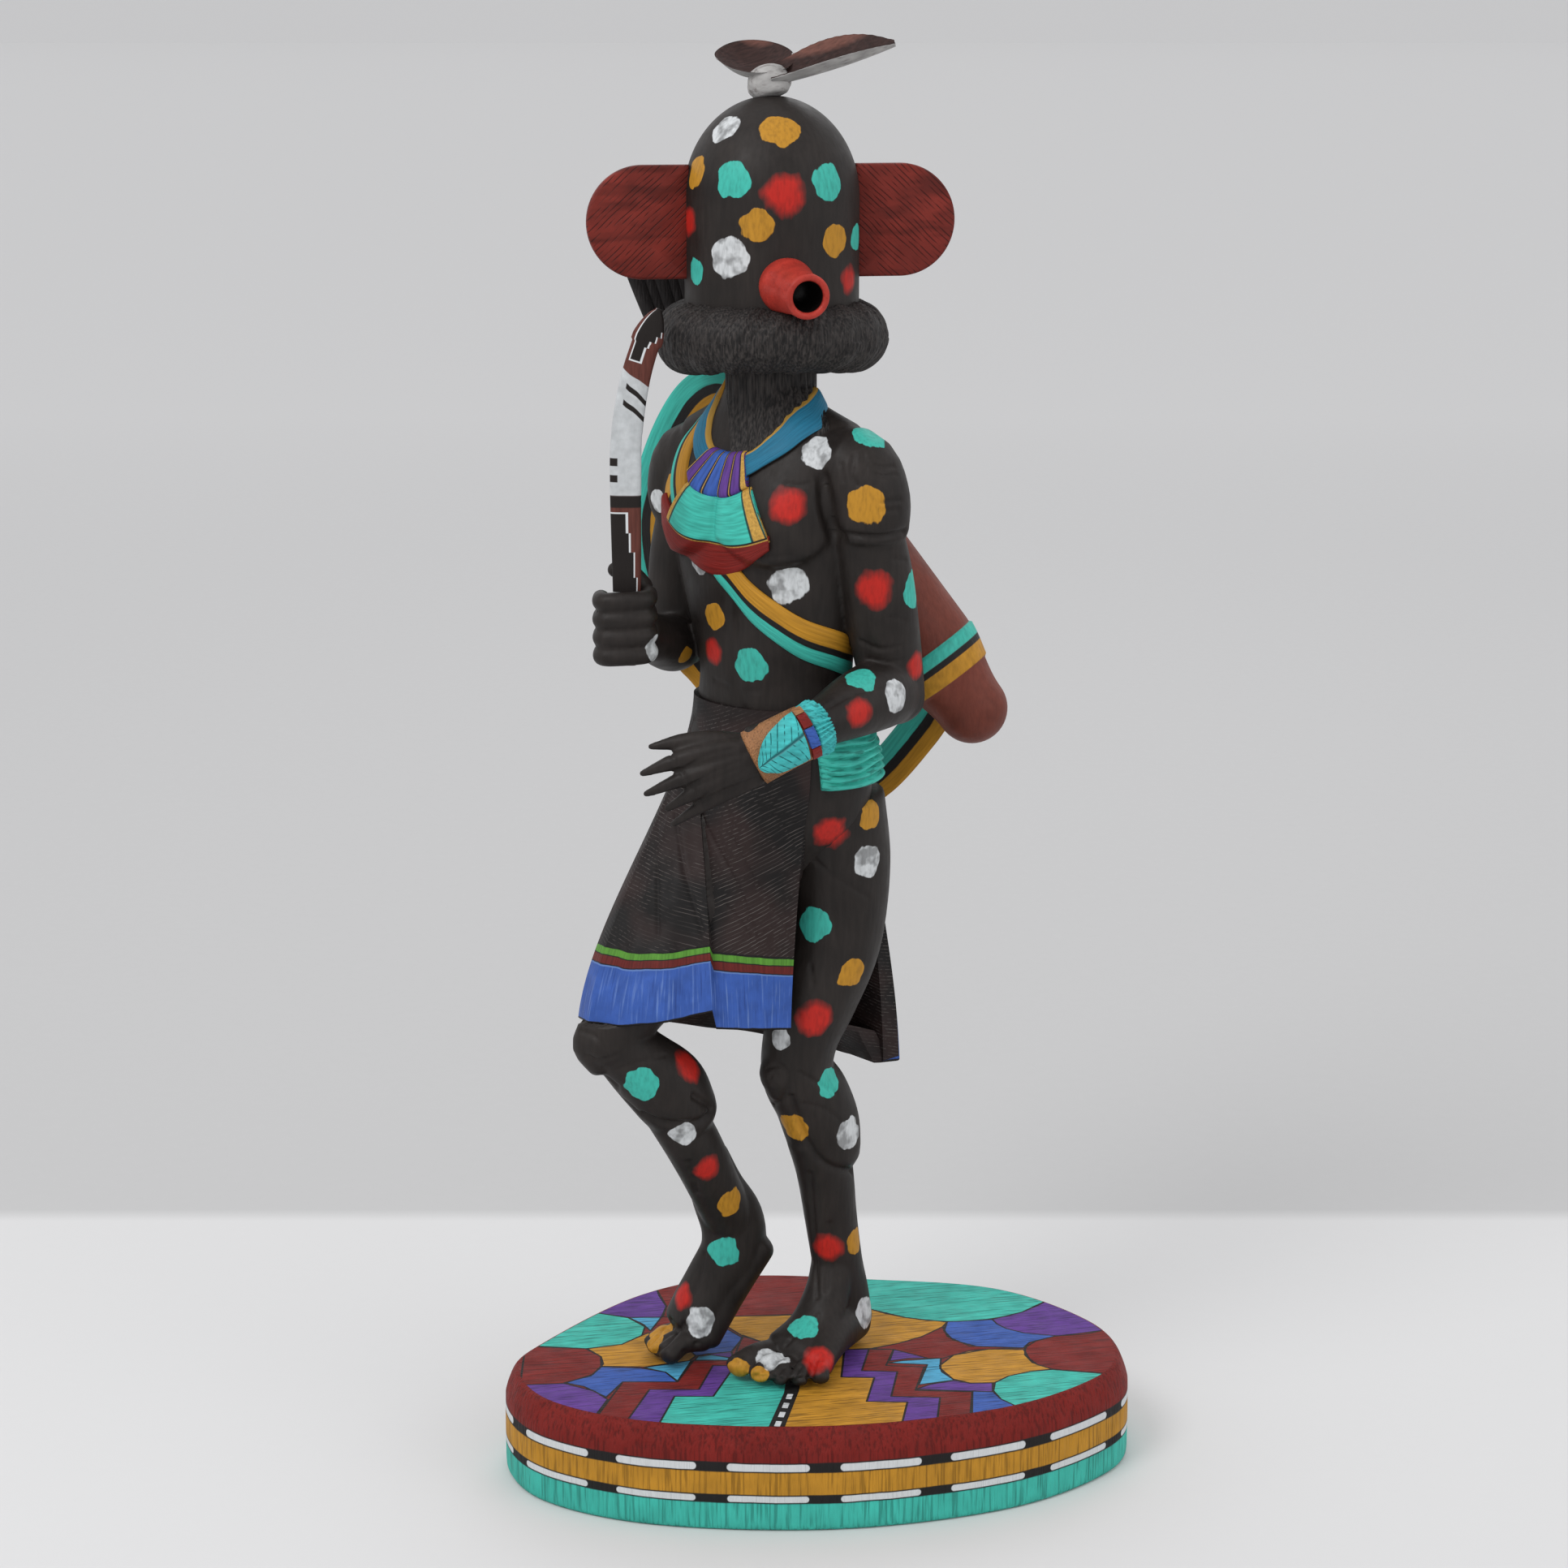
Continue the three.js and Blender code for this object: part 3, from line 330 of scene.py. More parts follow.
class Paint:
    """A node material with a principled shader, built step by step."""

    def __init__(self, name, roughness=0.6):
        self.material = bpy.data.materials.new(name)
        self.material.use_nodes = True
        self.tree = self.material.node_tree
        self.shader = self.tree.nodes["Principled BSDF"]
        self.shader.inputs["Specular IOR Level"].default_value = 0.2
        self.roughness = roughness
        self.place = self.add("ShaderNodeTexCoord").outputs["Object"]

    def add(self, kind, inputs=None, **settings):
        """Adds a node. Each input is a number or the output of another node."""
        node = self.tree.nodes.new(kind)
        for key, value in settings.items():
            setattr(node, key, value)
        for key, value in (inputs or {}).items():
            socket = node.inputs[key]
            if isinstance(value, bpy.types.NodeSocket):
                self.tree.links.new(value, socket)
            else:
                socket.default_value = value
        return node

    def maths(self, operation, *values):
        """One step of reckoning on numbers or outputs."""
        inputs = dict(enumerate(values))
        return self.add("ShaderNodeMath", inputs, operation=operation).outputs[0]

    def plus(self, one, other):
        return self.maths("ADD", one, other)

    def minus(self, one, other):
        return self.maths("SUBTRACT", one, other)

    def times(self, one, other):
        return self.maths("MULTIPLY", one, other)

    def most(self, one, other):
        return self.maths("MAXIMUM", one, other)

    def swing(self, noise, amount):
        """Noise from 0 to 1 as a small shift to both sides."""
        return self.times(self.minus(noise, 0.5), amount)

    def axis(self, name):
        """How far along X, Y or Z the surface lies, in metres."""
        return self.add("ShaderNodeSeparateXYZ", {"Vector": self.place}).outputs[name]

    def distance_along(self, way):
        """How far along a direction the surface lies, in metres."""
        return self.add("ShaderNodeVectorMath", {0: self.place, 1: way}, operation="DOT_PRODUCT").outputs["Value"]

    def flat_place(self, x, y):
        """A place on a piece's own surface, for strokes that follow its shape."""
        return self.add("ShaderNodeCombineXYZ", {"X": x, "Y": y}).outputs[0]

    def noise(self, size_mm, stretch=(1, 1, 1), detail=3.0, turn=(0, 0, 0), place=None):
        """Cloudy noise of a size in millimetres. A small number in stretch draws it out along that axis."""
        where = self.add("ShaderNodeMapping", {
            "Vector": place or self.place, "Scale": [1 / s for s in stretch], "Rotation": turn,
        }, vector_type="TEXTURE")
        unit_size = 1 if place else MM
        return self.add("ShaderNodeTexNoise", {
            "Vector": where.outputs[0], "Scale": 1 / (size_mm * unit_size), "Detail": detail,
        }).outputs["Fac"]

    def ramp(self, value, low, high, start=0.0, end=1.0):
        """Start below low, end above high, and a straight run between."""
        return self.add("ShaderNodeMapRange", {
            "Value": value, "From Min": low, "From Max": high, "To Min": start, "To Max": end,
        }).outputs[0]

    def mix(self, share, first, second):
        """Goes from the first colour to the second as share goes from 0 to 1."""
        node = self.add("ShaderNodeMix", {"Factor": share}, data_type="RGBA")
        for key, value in ((6, first), (7, second)):
            if isinstance(value, bpy.types.NodeSocket):
                self.tree.links.new(value, node.inputs[key])
            else:
                node.inputs[key].default_value = (*value, 1)
        return node.outputs[2]

    def shade(self, colour, share, low=0.75, high=1.2):
        """Makes a colour darker or lighter by a share between 0 and 1."""
        node = self.add("ShaderNodeHueSaturation", {"Value": self.ramp(share, 0.2, 0.8, low, high)})
        if isinstance(colour, bpy.types.NodeSocket):
            self.tree.links.new(colour, node.inputs["Color"])
        else:
            node.inputs["Color"].default_value = (*colour, 1)
        return node.outputs[0]

    def field(self, name):
        """A number that store() kept on the surface."""
        return self.add("ShaderNodeAttribute", attribute_name=name).outputs["Fac"]

    def finish(self, colour, bump=None, depth_mm=0.15, rough=None):
        """Joins colour, roughness and bump to the shader."""
        self.tree.links.new(colour, self.shader.inputs["Base Color"])
        if rough is None:
            rough = self.ramp(self.noise(7), 0.3, 0.7, self.roughness - 0.08, self.roughness + 0.08)
        self.tree.links.new(rough, self.shader.inputs["Roughness"])
        if bump is not None:
            node = self.add("ShaderNodeBump", {"Height": bump, "Distance": depth_mm * MM, "Strength": 1.0})
            self.tree.links.new(node.outputs[0], self.shader.inputs["Normal"])
        return self.material


# %% [markdown]
# Noise moves the rim of each spot in and out, and thin strokes wear its paint.

# %% The dark skin paint with its spots
def spotted_paint(name, base=PAINTS["skin"]):
    """Near-black wood with worn spots. The red ones have a soft rim."""
    paint = Paint(name, 0.5)
    grain = paint.noise(1.6, (1, 1, 0.16), 4)
    mottle = paint.noise(14, detail=2)
    colour = paint.shade(paint.shade(base, mottle, 0.7, 1.45), grain, 0.75, 1.25)
    wobble = paint.swing(paint.noise(5.5, detail=1), 0.72)
    streak = paint.noise(1.1, (1, 1, 0.3), 3)
    thin = paint.ramp(paint.noise(4.5, detail=2), 0.46, 0.62, 1.0, 0.45)
    fine = paint.swing(streak, 0.13)
    cover = None
    edges = {"red": (-0.16, 0.34), "ochre": (0.0, 0.05), "turquoise": (0.0, 0.05), "white": (0.0, 0.06)}
    for colour_name, (low, high) in edges.items():
        inside = paint.plus(paint.plus(paint.field(colour_name), wobble), fine)
        share = paint.ramp(inside, low, high, 0.0, 0.96)
        worn = paint.ramp(streak, 0.18, 0.5, 0.80, 1.0)
        if colour_name == "white":
            worn = paint.times(worn, thin)
        tone = paint.shade(PAINTS[colour_name], streak, 0.82, 1.1)
        colour = paint.mix(paint.times(share, worn), colour, tone)
        cover = share if cover is None else paint.most(cover, share)
    height = paint.plus(paint.times(cover, 0.8), paint.times(grain, 0.5))
    return paint.finish(colour, height, 0.16)


# %% [markdown]
# Stretched noise gives strokes. It colours the wood and also drives a shallow bump.

# %% Plain painted wood with burned strokes
def stroked_paint(name, colour, stretch, size=1.1, dark=0.35, amount=0.5, roughness=0.62, turn=(0, 0, 0), depth=0.14):
    """Wood paint with fine burned strokes along the unstretched direction."""
    paint = Paint(name, roughness)
    strokes = paint.noise(size, stretch, 3, turn)
    wash = paint.noise(9, detail=3)
    tone = paint.shade(colour, wash, 0.72, 1.25)
    burned = tuple(c * dark for c in colour)
    tone = paint.mix(paint.ramp(strokes, 0.54, 0.62, 0.0, amount), tone, burned)
    tone = paint.mix(paint.ramp(strokes, 0.44, 0.3, 0.0, 0.3), tone, tuple(min(1, c * 1.6 + 0.01) for c in colour))
    return paint.finish(tone, paint.ramp(strokes, 0.35, 0.65, 1.0, 0.0), depth)


def hatched_paint(name, colour, way, gap, roughness=0.6):
    """Thin washed colour over wood grain, with fine scratched lines across the direction way."""
    paint = Paint(name, roughness)
    wander = paint.times(paint.noise(14, detail=1), 1.5 * MM)
    lean = paint.plus(paint.distance_along(way), wander)
    turn = (0, math.atan2(way[0], way[2]), 0)
    broken = paint.noise(0.9, (0.04, 1, 1), 2, turn)
    line = paint.ramp(paint.maths("PINGPONG", lean, gap * MM), 0.30 * gap * MM, 0.12 * gap * MM)
    line = paint.times(line, paint.ramp(broken, 0.42, 0.56))
    grain = paint.ramp(paint.noise(5, (0.14, 1, 1), 2), 0.48, 0.66)
    tone = paint.shade(colour, paint.noise(10, detail=2), 0.7, 1.35)
    tone = paint.mix(paint.times(grain, 0.6), tone, tuple(c * 0.3 for c in colour))
    tone = paint.mix(paint.times(line, 0.75), tone, (0.02, 0.005, 0.004))
    return paint.finish(tone, line, -0.15)


def dress(obj, material, node="figure"):
    """Gives a piece its only material and hands it over."""
    obj.data.materials.clear()
    obj.data.materials.append(material)
    hand_over(obj, node)


def hand_over(obj, node):
    """Says which body carries a piece and which solid it stands for, and hides that solid."""
    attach(obj, "root")
    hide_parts(node)
    print(obj.name, len(obj.data.polygons), "faces stand for", node)


# %% [markdown]
# ## Legs
# The dancer stands on the left leg and lifts the right heel. Thighs, calves, shins, kneecaps and feet are
# separate rods that melt into one skin, which gives the soft transitions of sanded wood.

# %% Leg rods
standing_leg = [
    [3, -3, 206, 20, 20.5], [6, -1, 182, 19, 20], [5, -3, 156, 17, 18], [-1, -7, 136, 14.5, 16.5],
    [-6, -9, 121, 12.5, 14.6], [-7, -8, 108, 12.2, 13.6], [-2, -4, 97, 12.8, 14.4],
    [1.5, -1, 86, 12.8, 14.6], [3.4, 0, 76, 11.6, 13.4],
]
standing_shin = [
    [-1, -4, 84, 10, 11], [2.5, -1, 70, 9.6, 11], [5, 1, 50, 8.8, 10.2], [7.4, 3, 32, 8.4, 10],
    [9, 4, 20, 8.8, 11], [9.6, 4, 9, 9.4, 12.5],
]
standing_knee = [[-13.5, -15.5, 117, 5, 4], [-14.8, -16.6, 110, 6.4, 5], [-13.4, -15, 103, 4.6, 4]]
raised_thigh = [
    [-26, 2, 196, 19, 20], [-40, -10, 176, 18.5, 19], [-55, -22, 155, 17, 17], [-67, -31, 138, 13, 14],
    [-72.5, -35, 128, 10.6, 11],
]
raised_calf = [
    [-70, -34, 128, 10.5, 10.5], [-60.5, -29, 117, 12, 13], [-52, -24, 107, 12.4, 14.6], [-46.8, -20, 97, 11.2, 13],
]
raised_shin = [
    [-55, -26, 108, 9, 11], [-43.5, -18, 84, 8.8, 10.4], [-36, -9, 64, 8, 9.8], [-30.5, -1, 48, 8, 9.6],
    [-28.5, 3, 38, 8, 9.4],
]
raised_knee = [[-77.5, -37, 134, 5.2, 4.6], [-78.5, -37.5, 127, 6.4, 5.4], [-75, -36, 120, 4.8, 4.6]]


def foot(rods, toe_side, toes):
    """Rods of a foot, and toes that arch and end in a rounder tip, each from root to tip."""
    side = unit(np.array([*toe_side, 0.0]))
    solids = [limb(rod, side, (0.6, 0.6)) for rod in rods]
    for x, y, h, tip_x, tip_y, tip_h, thick in toes:
        solids.append(limb([
            [x, y, h, thick, thick * 0.95],
            [x * 0.45 + tip_x * 0.55, y * 0.45 + tip_y * 0.55, (h + tip_h) / 2 + 1.6, thick * 0.82, thick * 0.85],
            [tip_x, tip_y, tip_h, thick * 1.04, thick * 0.82],
        ], side, (0.5, 0.7), 24, 1))
    return solids


standing_foot = foot([
    [[12.5, 8, 7.4, 8.2, 7.4], [3, -8, 9.5, 10.5, 9.5], [-6.5, -22, 5.6, 14, 5.6]],
    [[6, 2, 36, 7.6, 7.2], [4, -3, 24, 8.2, 7.4], [-1, -11, 13.5, 9.8, 5.8], [-8, -19, 8, 12, 5]],
], (0.86, -0.51), [
    [-16, -16, 5.4, -28.5, -28, 4.9, 4.8], [-15, -23, 4.6, -20.8, -33.5, 3.9, 3.5],
    [-10, -26, 4.4, -13.8, -36, 3.6, 3.3], [-4, -27.5, 4.4, -6.6, -36.5, 3.6, 3.3], [2.5, -27, 4.4, 0.8, -35, 3.7, 3.4],
])
raised_foot = foot([
    [[*seen(932, 1532, 4), 7.2, 7.4], [*seen(893, 1583, 0), 8.6, 9.2], [-43, -3.5, 8.5, 11.5, 7.6]],
    [[*seen(869, 1425, -4), 7.2, 8.6], [*seen(884, 1466, -3), 7.6, 10.4], [*seen(902, 1505, -1), 8.2, 12.4],
     [*seen(902, 1540, 0), 8.6, 13], [*seen(882, 1575, -1), 9.2, 11.6], [*seen(862, 1605, -3), 10.4, 9.4],
     [*seen(846, 1630, -5), 11.4, 6.6]],
], (0.57, -0.82), [
    [-41, -10, 8, -53.5, -16.5, 4.8, 5], [-47, -7, 7.4, -57.5, -12, 4, 3.2], [-49, -4, 7, -59.5, -8.5, 3.8, 3],
    [-50, -1, 6.6, -60.5, -4.5, 3.8, 2.9], [-50, 2, 6, -59.5, -0.5, 3.5, 2.8],
])
rods = [(standing_leg, (0.2, 0.85)), (standing_shin, (0.5, 0.2)), (standing_knee, (0.7, 0.7)),
        (raised_thigh, (0.3, 0.9)), (raised_calf, (0.8, 0.85)), (raised_shin, (0.5, 0.5)), (raised_knee, (0.7, 0.7))]
legs = melt("legs", [limb(stops, left, ends) for stops, ends in rods] + standing_foot + raised_foot, 0.8)

# %% [markdown]
# Cuts and spots are placed by dots in the photograph, and rays from the eye carry them onto the wood.

# %% Leg cuts and spots
carve(legs, [
    ([(793, 1373), (815, 1383), (845, 1385), (868, 1379), (884, 1357)], 1.3, 1.5),
    ([(975, 1352), (984, 1384), (1002, 1419), (1022, 1437), (1050, 1443)], 1.2, 1.3),
    ([(953, 1361), (967, 1352), (972, 1328), (962, 1313), (944, 1317)], 0.8, 0.7),
    ([(948, 1330), (954, 1322), (962, 1330)], 0.7, 0.4),
    ([(997, 1054), (1032, 1083), (1070, 1105)], 0.8, 0.5),
    ([(1026, 1113), (1031, 1163)], 0.7, 0.5), ([(999, 1190), (1002, 1214)], 0.7, 0.5),
    ([(1023, 1040), (1024, 1070)], 0.7, 0.5), ([(985, 1250), (990, 1272)], 0.7, 0.5),
    ([(985, 1322), (1010, 1336), (1030, 1346)], 0.8, 0.6), ([(990, 1360), (1015, 1366), (1035, 1380)], 0.7, 0.4),
    ([(998, 1446), (1003, 1517), (1007, 1598)], 1.0, 0.7), ([(1022, 1508), (1018, 1590)], 1.0, 0.6),
    ([(1008, 1620), (1003, 1650), (996, 1668)], 0.8, 0.5), ([(985, 1640), (968, 1658)], 0.8, 0.5),
    ([(716, 1270), (735, 1278), (750, 1300)], 0.8, 0.7), ([(722, 1300), (740, 1306), (760, 1300)], 0.8, 0.6),
    ([(760, 1318), (790, 1308), (820, 1300)], 0.7, 0.4), ([(735, 1325), (770, 1355), (792, 1375)], 0.8, 0.5),
    ([(852, 1500), (846, 1545), (832, 1590), (812, 1622)], 1.0, 0.8),
    ([(868, 1545), (862, 1575), (846, 1612)], 0.9, 0.6), ([(842, 1632), (826, 1650), (806, 1668)], 1.1, 1.2),
    ([(826, 1626), (808, 1648), (796, 1660)], 0.9, 1.0), ([(948, 1680), (936, 1692), (920, 1704)], 1.1, 1.4),
    ([(966, 1684), (956, 1696), (948, 1708)], 1.0, 1.3), ([(985, 1684), (978, 1696), (972, 1707)], 1.0, 1.3),
    ([(1004, 1682), (1000, 1694), (997, 1705)], 1.0, 1.2),
])
spot_fields(legs, [
    ("red", 1023, 1025, 42), ("ochre", 1073, 1003, 40), ("white", 1070, 1062, 44), ("turquoise", 1003, 1138, 44),
    ("ochre", 1050, 1200, 40), ("red", 1005, 1255, 46), ("turquoise", 1022, 1332, 40), ("ochre", 978, 1390, 44),
    ("white", 1048, 1397, 44), ("red", 1020, 1537, 40), ("ochre", 1054, 1530, 36), ("turquoise", 990, 1635, 40),
    ("white", 1067, 1618, 44), ("white", 952, 1672, 46), ("red", 1010, 1676, 42), ("ochre", 908, 1690, 34),
    ("ochre", 935, 1695, 26), ("red", 848, 1312, 42), ("turquoise", 790, 1337, 44), ("white", 841, 1398, 34),
    ("red", 873, 1440, 34), ("ochre", 901, 1483, 40), ("turquoise", 893, 1542, 44), ("red", 840, 1597, 32),
    ("ochre", 815, 1640, 36), ("ochre", 806, 1655, 28), ("white", 864, 1628, 42), ("white", 934, 1290, 30),
], [
    ("turquoise", at(16, 10, 150), 6), ("white", at(18, 8, 96), 6), ("ochre", at(10, 16, 185), 6),
    ("red", at(12, 14, 62), 5.5),
])
spotted = spotted_paint("dark_paint_with_spots")
dress(legs, spotted)

# %% [markdown]
# ## Trunk, arms and hands
# The trunk is a lofted barrel with a fuller chest. The arms are rods from the shoulders, the left hand is
# held open in front of the belly and the right fist closes round the stick.

# %% Trunk and arm rods
trunk_levels = [
    [-14, 1, 184, 22, 17], [-13, 1, 202, 33, 25], [-14, 1, 222, 35.5, 26], [-15, 0, 242, 29.5, 22],
    [-15.5, -0.5, 256, 28.5, 21], [-16, -0.5, 272, 32.5, 23], [-16.5, 0, 289, 36, 24.5],
    [-16.5, 0.5, 304, 38, 24.5], [-16.5, 1, 318, 38.5, 22.5], [-16.5, 1, 328, 36, 19.5],
    [-16.5, 0.5, 336, 28, 17], [-16.5, 0, 343, 20, 15], [-16.5, 0, 351, 14.5, 13.5],
]
arm_rods = [
    ([[2, -13, 321, 13, 15], [12, -21.5, 323, 14, 14.6], [16.6, -25, 314, 14, 13.4],
      [17, -25.5, 304, 13.2, 12.6]], front, (0.3, 0.6)),
    ([[15, -24, 308, 11.5, 12], [19, -22.5, 288, 12.2, 12.6], [22, -18.5, 268, 11.8, 12.4], [25, -14, 250, 10.6, 11.4],
      [26.5, -12, 243, 9.8, 10.4]], left, (0.3, 0.8)),
    ([[27, -9, 243, 8.8, 9], [21.5, -22, 247.5, 11.4, 12], [12, -36, 246.5, 11, 11], [2, -47, 243.5, 8.8, 8.4],
      [-7, -55, 240.5, 7, 6.2]], left, (0.8, 0.3)),
    ([[-35, 13, 320, 13, 15], [-43.5, 21, 321, 13.4, 13.6], [-46.8, 24, 312, 13, 12.4],
      [-46.6, 24.5, 304.5, 12.2, 11.6]], front, (0.3, 0.6)),
    ([[-45, 23.5, 306, 10, 10.4], [-47.5, 25, 288, 11, 11.6], [-48.5, 24.5, 268, 11, 11.6],
      [-48, 22, 256, 10, 10.6]], left, (0.3, 0.8)),
    ([[-47.5, 25, 256, 8.6, 8.6], [-51, 12, 258, 10, 9.8], [-56, -2, 262.5, 9, 8.6],
      [-60.5, -14, 267, 6.6, 7.4]], left, (0.8, 0.3)),
    ([[-6, -55, 240.5, 6.8, 5.6], [-14, -58.5, 238, 8.4, 5.2], [-22, -60, 236.2, 8.6, 4.4]], up, (0.7, 0.7)),
    ([[-14, -1, 346, 8, 8], [-4, -7, 337.5, 9, 8], [7, -15, 330, 10.5, 9.5]], front, (0.5, 0.5)),
    ([[-19, 2, 346, 8, 8], [-29, 9, 337.5, 9, 8], [-39, 16, 329, 10.5, 9.5]], front, (0.5, 0.5)),
]
# Each finger is a row of places in the picture with a depth and a half thickness.
left_fingers = [
    [(915, 914, -57, 3.0), (878, 912, -58.5, 3.2), (841, 914, -59.5, 2.8), (803, 920, -60, 1.2)],
    [(922, 921, -60, 3.4), (880, 926, -62, 3.5), (835, 937, -63, 2.9), (792, 953, -62.5, 1.2)],
    [(926, 933, -61, 3.3), (880, 947, -63, 3.4), (840, 960, -63.5, 2.7), (797, 978, -62.5, 1.2)],
    [(932, 945, -61, 3.2), (892, 960, -63, 3.2), (855, 977, -63, 2.6), (823, 996, -61.5, 1.2)],
    [(937, 957, -59, 2.9), (898, 975, -61, 2.9), (863, 994, -61, 2.3), (830, 1015, -59.5, 1.1)],
]
GRIP = (-65, -25)


def finger(stops):
    """A finger from its knuckle to its tip, placed through the picture."""
    return limb([[*seen(u, v, y), half, half] for u, v, y, half in stops], up, (0.5, 1.2), 24, 1)


# %% [markdown]
# The chest stands fuller than the plain barrel. One function gives every place on the trunk with this
# fullness in it, so that bands laid on the trunk follow the chest too.

# %% The trunk's surface
trunk_table = smooth_line(trunk_levels, 480)


def ease(t):
    """A soft step from 0 to 1."""
    t = np.clip(t, 0, 1)
    return t * t * (3 - 2 * t)


def fullness(turn, h):
    """How far the chest and belly stand out, in millimetres."""
    total = 1.2 * np.exp(-((turn - 85) / 40) ** 2 - ((h - 256) / 12) ** 2)
    for middle in (58, 128):
        off = (turn - middle) / 34
        lower_edge = 290 + 9 * off ** 2
        bump = 4.4 * np.clip(1 - off ** 2, 0, 1) ** 0.6 * ease((h - lower_edge) / 4.0) * ease((338 - h) / 30)
        total = np.maximum(total, bump)
    return total


def on_trunk(turn, h, rise=0.0):
    """Places on the trunk: turn 0 is its left side, 90 its front, 180 its right side."""
    turn, h, rise = np.broadcast_arrays(np.asarray(turn, float), np.asarray(h, float), np.asarray(rise, float))
    x, y, wide, deep = (np.interp(h, trunk_table[:, 2], trunk_table[:, k]) for k in (0, 1, 3, 4))
    t = np.radians(turn)
    out = rise + fullness((turn + 180) % 360 - 180, h)
    centre = np.stack([x, y, SOLE_LEVEL + h], -1)
    return centre + ((wide + out) * np.cos(t))[..., None] * left + ((deep + out) * np.sin(t))[..., None] * front


def trunk():
    """The trunk's skin, from the hips to the neck."""
    turns = np.linspace(0, 360, 120, endpoint=False)
    return skin([on_trunk(turns, h) for h in np.linspace(184, 351, 90)])


# %% [markdown]
# The fist is four fingers curled round the stick, with a palm behind and the thumb on top.

# %% The fist
def fist():
    """The palm, four curled fingers and the thumb."""
    gx, gy = GRIP
    solids = [limb([[-62, -15, 279, 7, 6.4], [-64, -17, 270, 8, 7], [-65, -17.5, 261, 7, 6.4]])]
    for i in range(4):
        h = 281 - i * 6.2
        solids.append(limb([
            [gx + 7.5, gy + 4, h + 0.5, 3.1, 3.1], [gx + 6.5, gy - 5, h, 3.2, 3.2],
            [gx - 6.5, gy - 6, h - 0.6, 3.3, 3.2], [gx - 8.5, gy + 3, h - 0.8, 3, 3],
        ], up, (0.3, 0.5), 20, 1.5))
    solids.append(limb([[gx + 6, gy + 7, 283, 3.4, 3.4], [gx + 2, gy + 4.5, 288, 3.2, 3],
                        [gx - 4, gy + 5, 289.5, 2.6, 2.4]], up, (0.5, 1), 20, 1.5))
    return solids


torso_solids = [trunk()] + [limb(*rod) for rod in arm_rods] + [finger(f) for f in left_fingers] + fist()
torso = melt("torso_and_arms", torso_solids, 0.85, 2)

# %% [markdown]
# The same for the trunk. Places that the eye can't see are given in millimetres.

# %% Muscle cuts and spots on the trunk
carve(torso, [
    ([(1034, 657), (1060, 661), (1090, 661), (1116, 655)], 1.2, 1.6),
    ([(1014, 590), (1016, 625), (1026, 652), (1036, 660)], 2.4, 2.0),
    ([(905, 712), (901, 760), (905, 830), (915, 880)], 2.4, 0.8),
    ([(1052, 560), (1049, 586), (1056, 598)], 0.7, 0.6), ([(1064, 557), (1067, 583)], 0.7, 0.5),
    ([(1074, 572), (1088, 576), (1102, 574)], 0.7, 0.6), ([(1076, 584), (1090, 587), (1104, 584)], 0.7, 0.5),
    ([(1036, 572), (1039, 592)], 0.7, 0.5), ([(1086, 619), (1110, 616)], 0.7, 0.6),
    ([(1084, 630), (1108, 628)], 0.7, 0.5),
    ([(1102, 689), (1116, 690)], 0.7, 0.5), ([(1096, 760), (1116, 764)], 0.7, 0.5),
    ([(1060, 790), (1085, 800), (1110, 795)], 0.8, 0.6), ([(1072, 812), (1090, 818), (1112, 812)], 0.8, 0.5),
    ([(1020, 872), (1050, 856), (1085, 846)], 0.8, 0.6), ([(926, 680), (950, 686), (975, 684)], 0.7, 0.4),
    ([(968, 596), (985, 598), (1003, 594)], 0.7, 0.4), ([(880, 838), (905, 848), (935, 852)], 0.8, 0.5),
    ([(826, 928), (834, 940)], 0.7, 0.6), ([(837, 948), (845, 961)], 0.7, 0.6), ([(851, 966), (858, 979)], 0.7, 0.6),
    ([(862, 985), (867, 996)], 0.7, 0.5), ([(905, 922), (870, 931), (848, 944)], 0.7, 0.5),
    ([(912, 938), (880, 951), (856, 965)], 0.7, 0.5), ([(918, 952), (890, 966), (868, 981)], 0.7, 0.5),
])
spot_fields(torso, [
    ("white", 1007, 558, 42), ("turquoise", 1072, 537, 44), ("ochre", 1066, 622, 48), ("red", 970, 623, 44),
    ("ochre", 823, 600, 34), ("white", 810, 618, 30), ("white", 971, 721, 48), ("red", 1078, 728, 44),
    ("red", 1023, 1025, 42),
    ("turquoise", 1125, 727, 44), ("ochre", 880, 760, 36), ("red", 878, 803, 34), ("turquoise", 925, 820, 46),
    ("turquoise", 1060, 835, 40), ("white", 1105, 858, 42), ("red", 1060, 878, 36), ("red", 1130, 820, 34),
    ("ochre", 1085, 905, 30), ("white", 862, 690, 36), ("white", 808, 800, 34), ("ochre", 845, 808, 26),
], [
    ("turquoise", at(-52, 34, 285), 6), ("red", at(-50, 36, 262), 5.5), ("ochre", at(-30, 22, 270), 6),
    ("white", at(-8, 22, 262), 6), ("turquoise", at(-24, 24, 296), 6), ("red", at(-2, 23, 300), 5.5),
    ("white", at(26, -8, 285), 5.5), ("ochre", at(-40, 20, 308), 5.5),
])
dress(torso, spotted)

# %% [markdown]
# ## Kilt
# The kilt is a cloth wrapped round the hips: a front panel with a clean edge lies over a second lap, and
# the back panel hangs behind the standing leg. It is a grid between a waist line and a hem line.

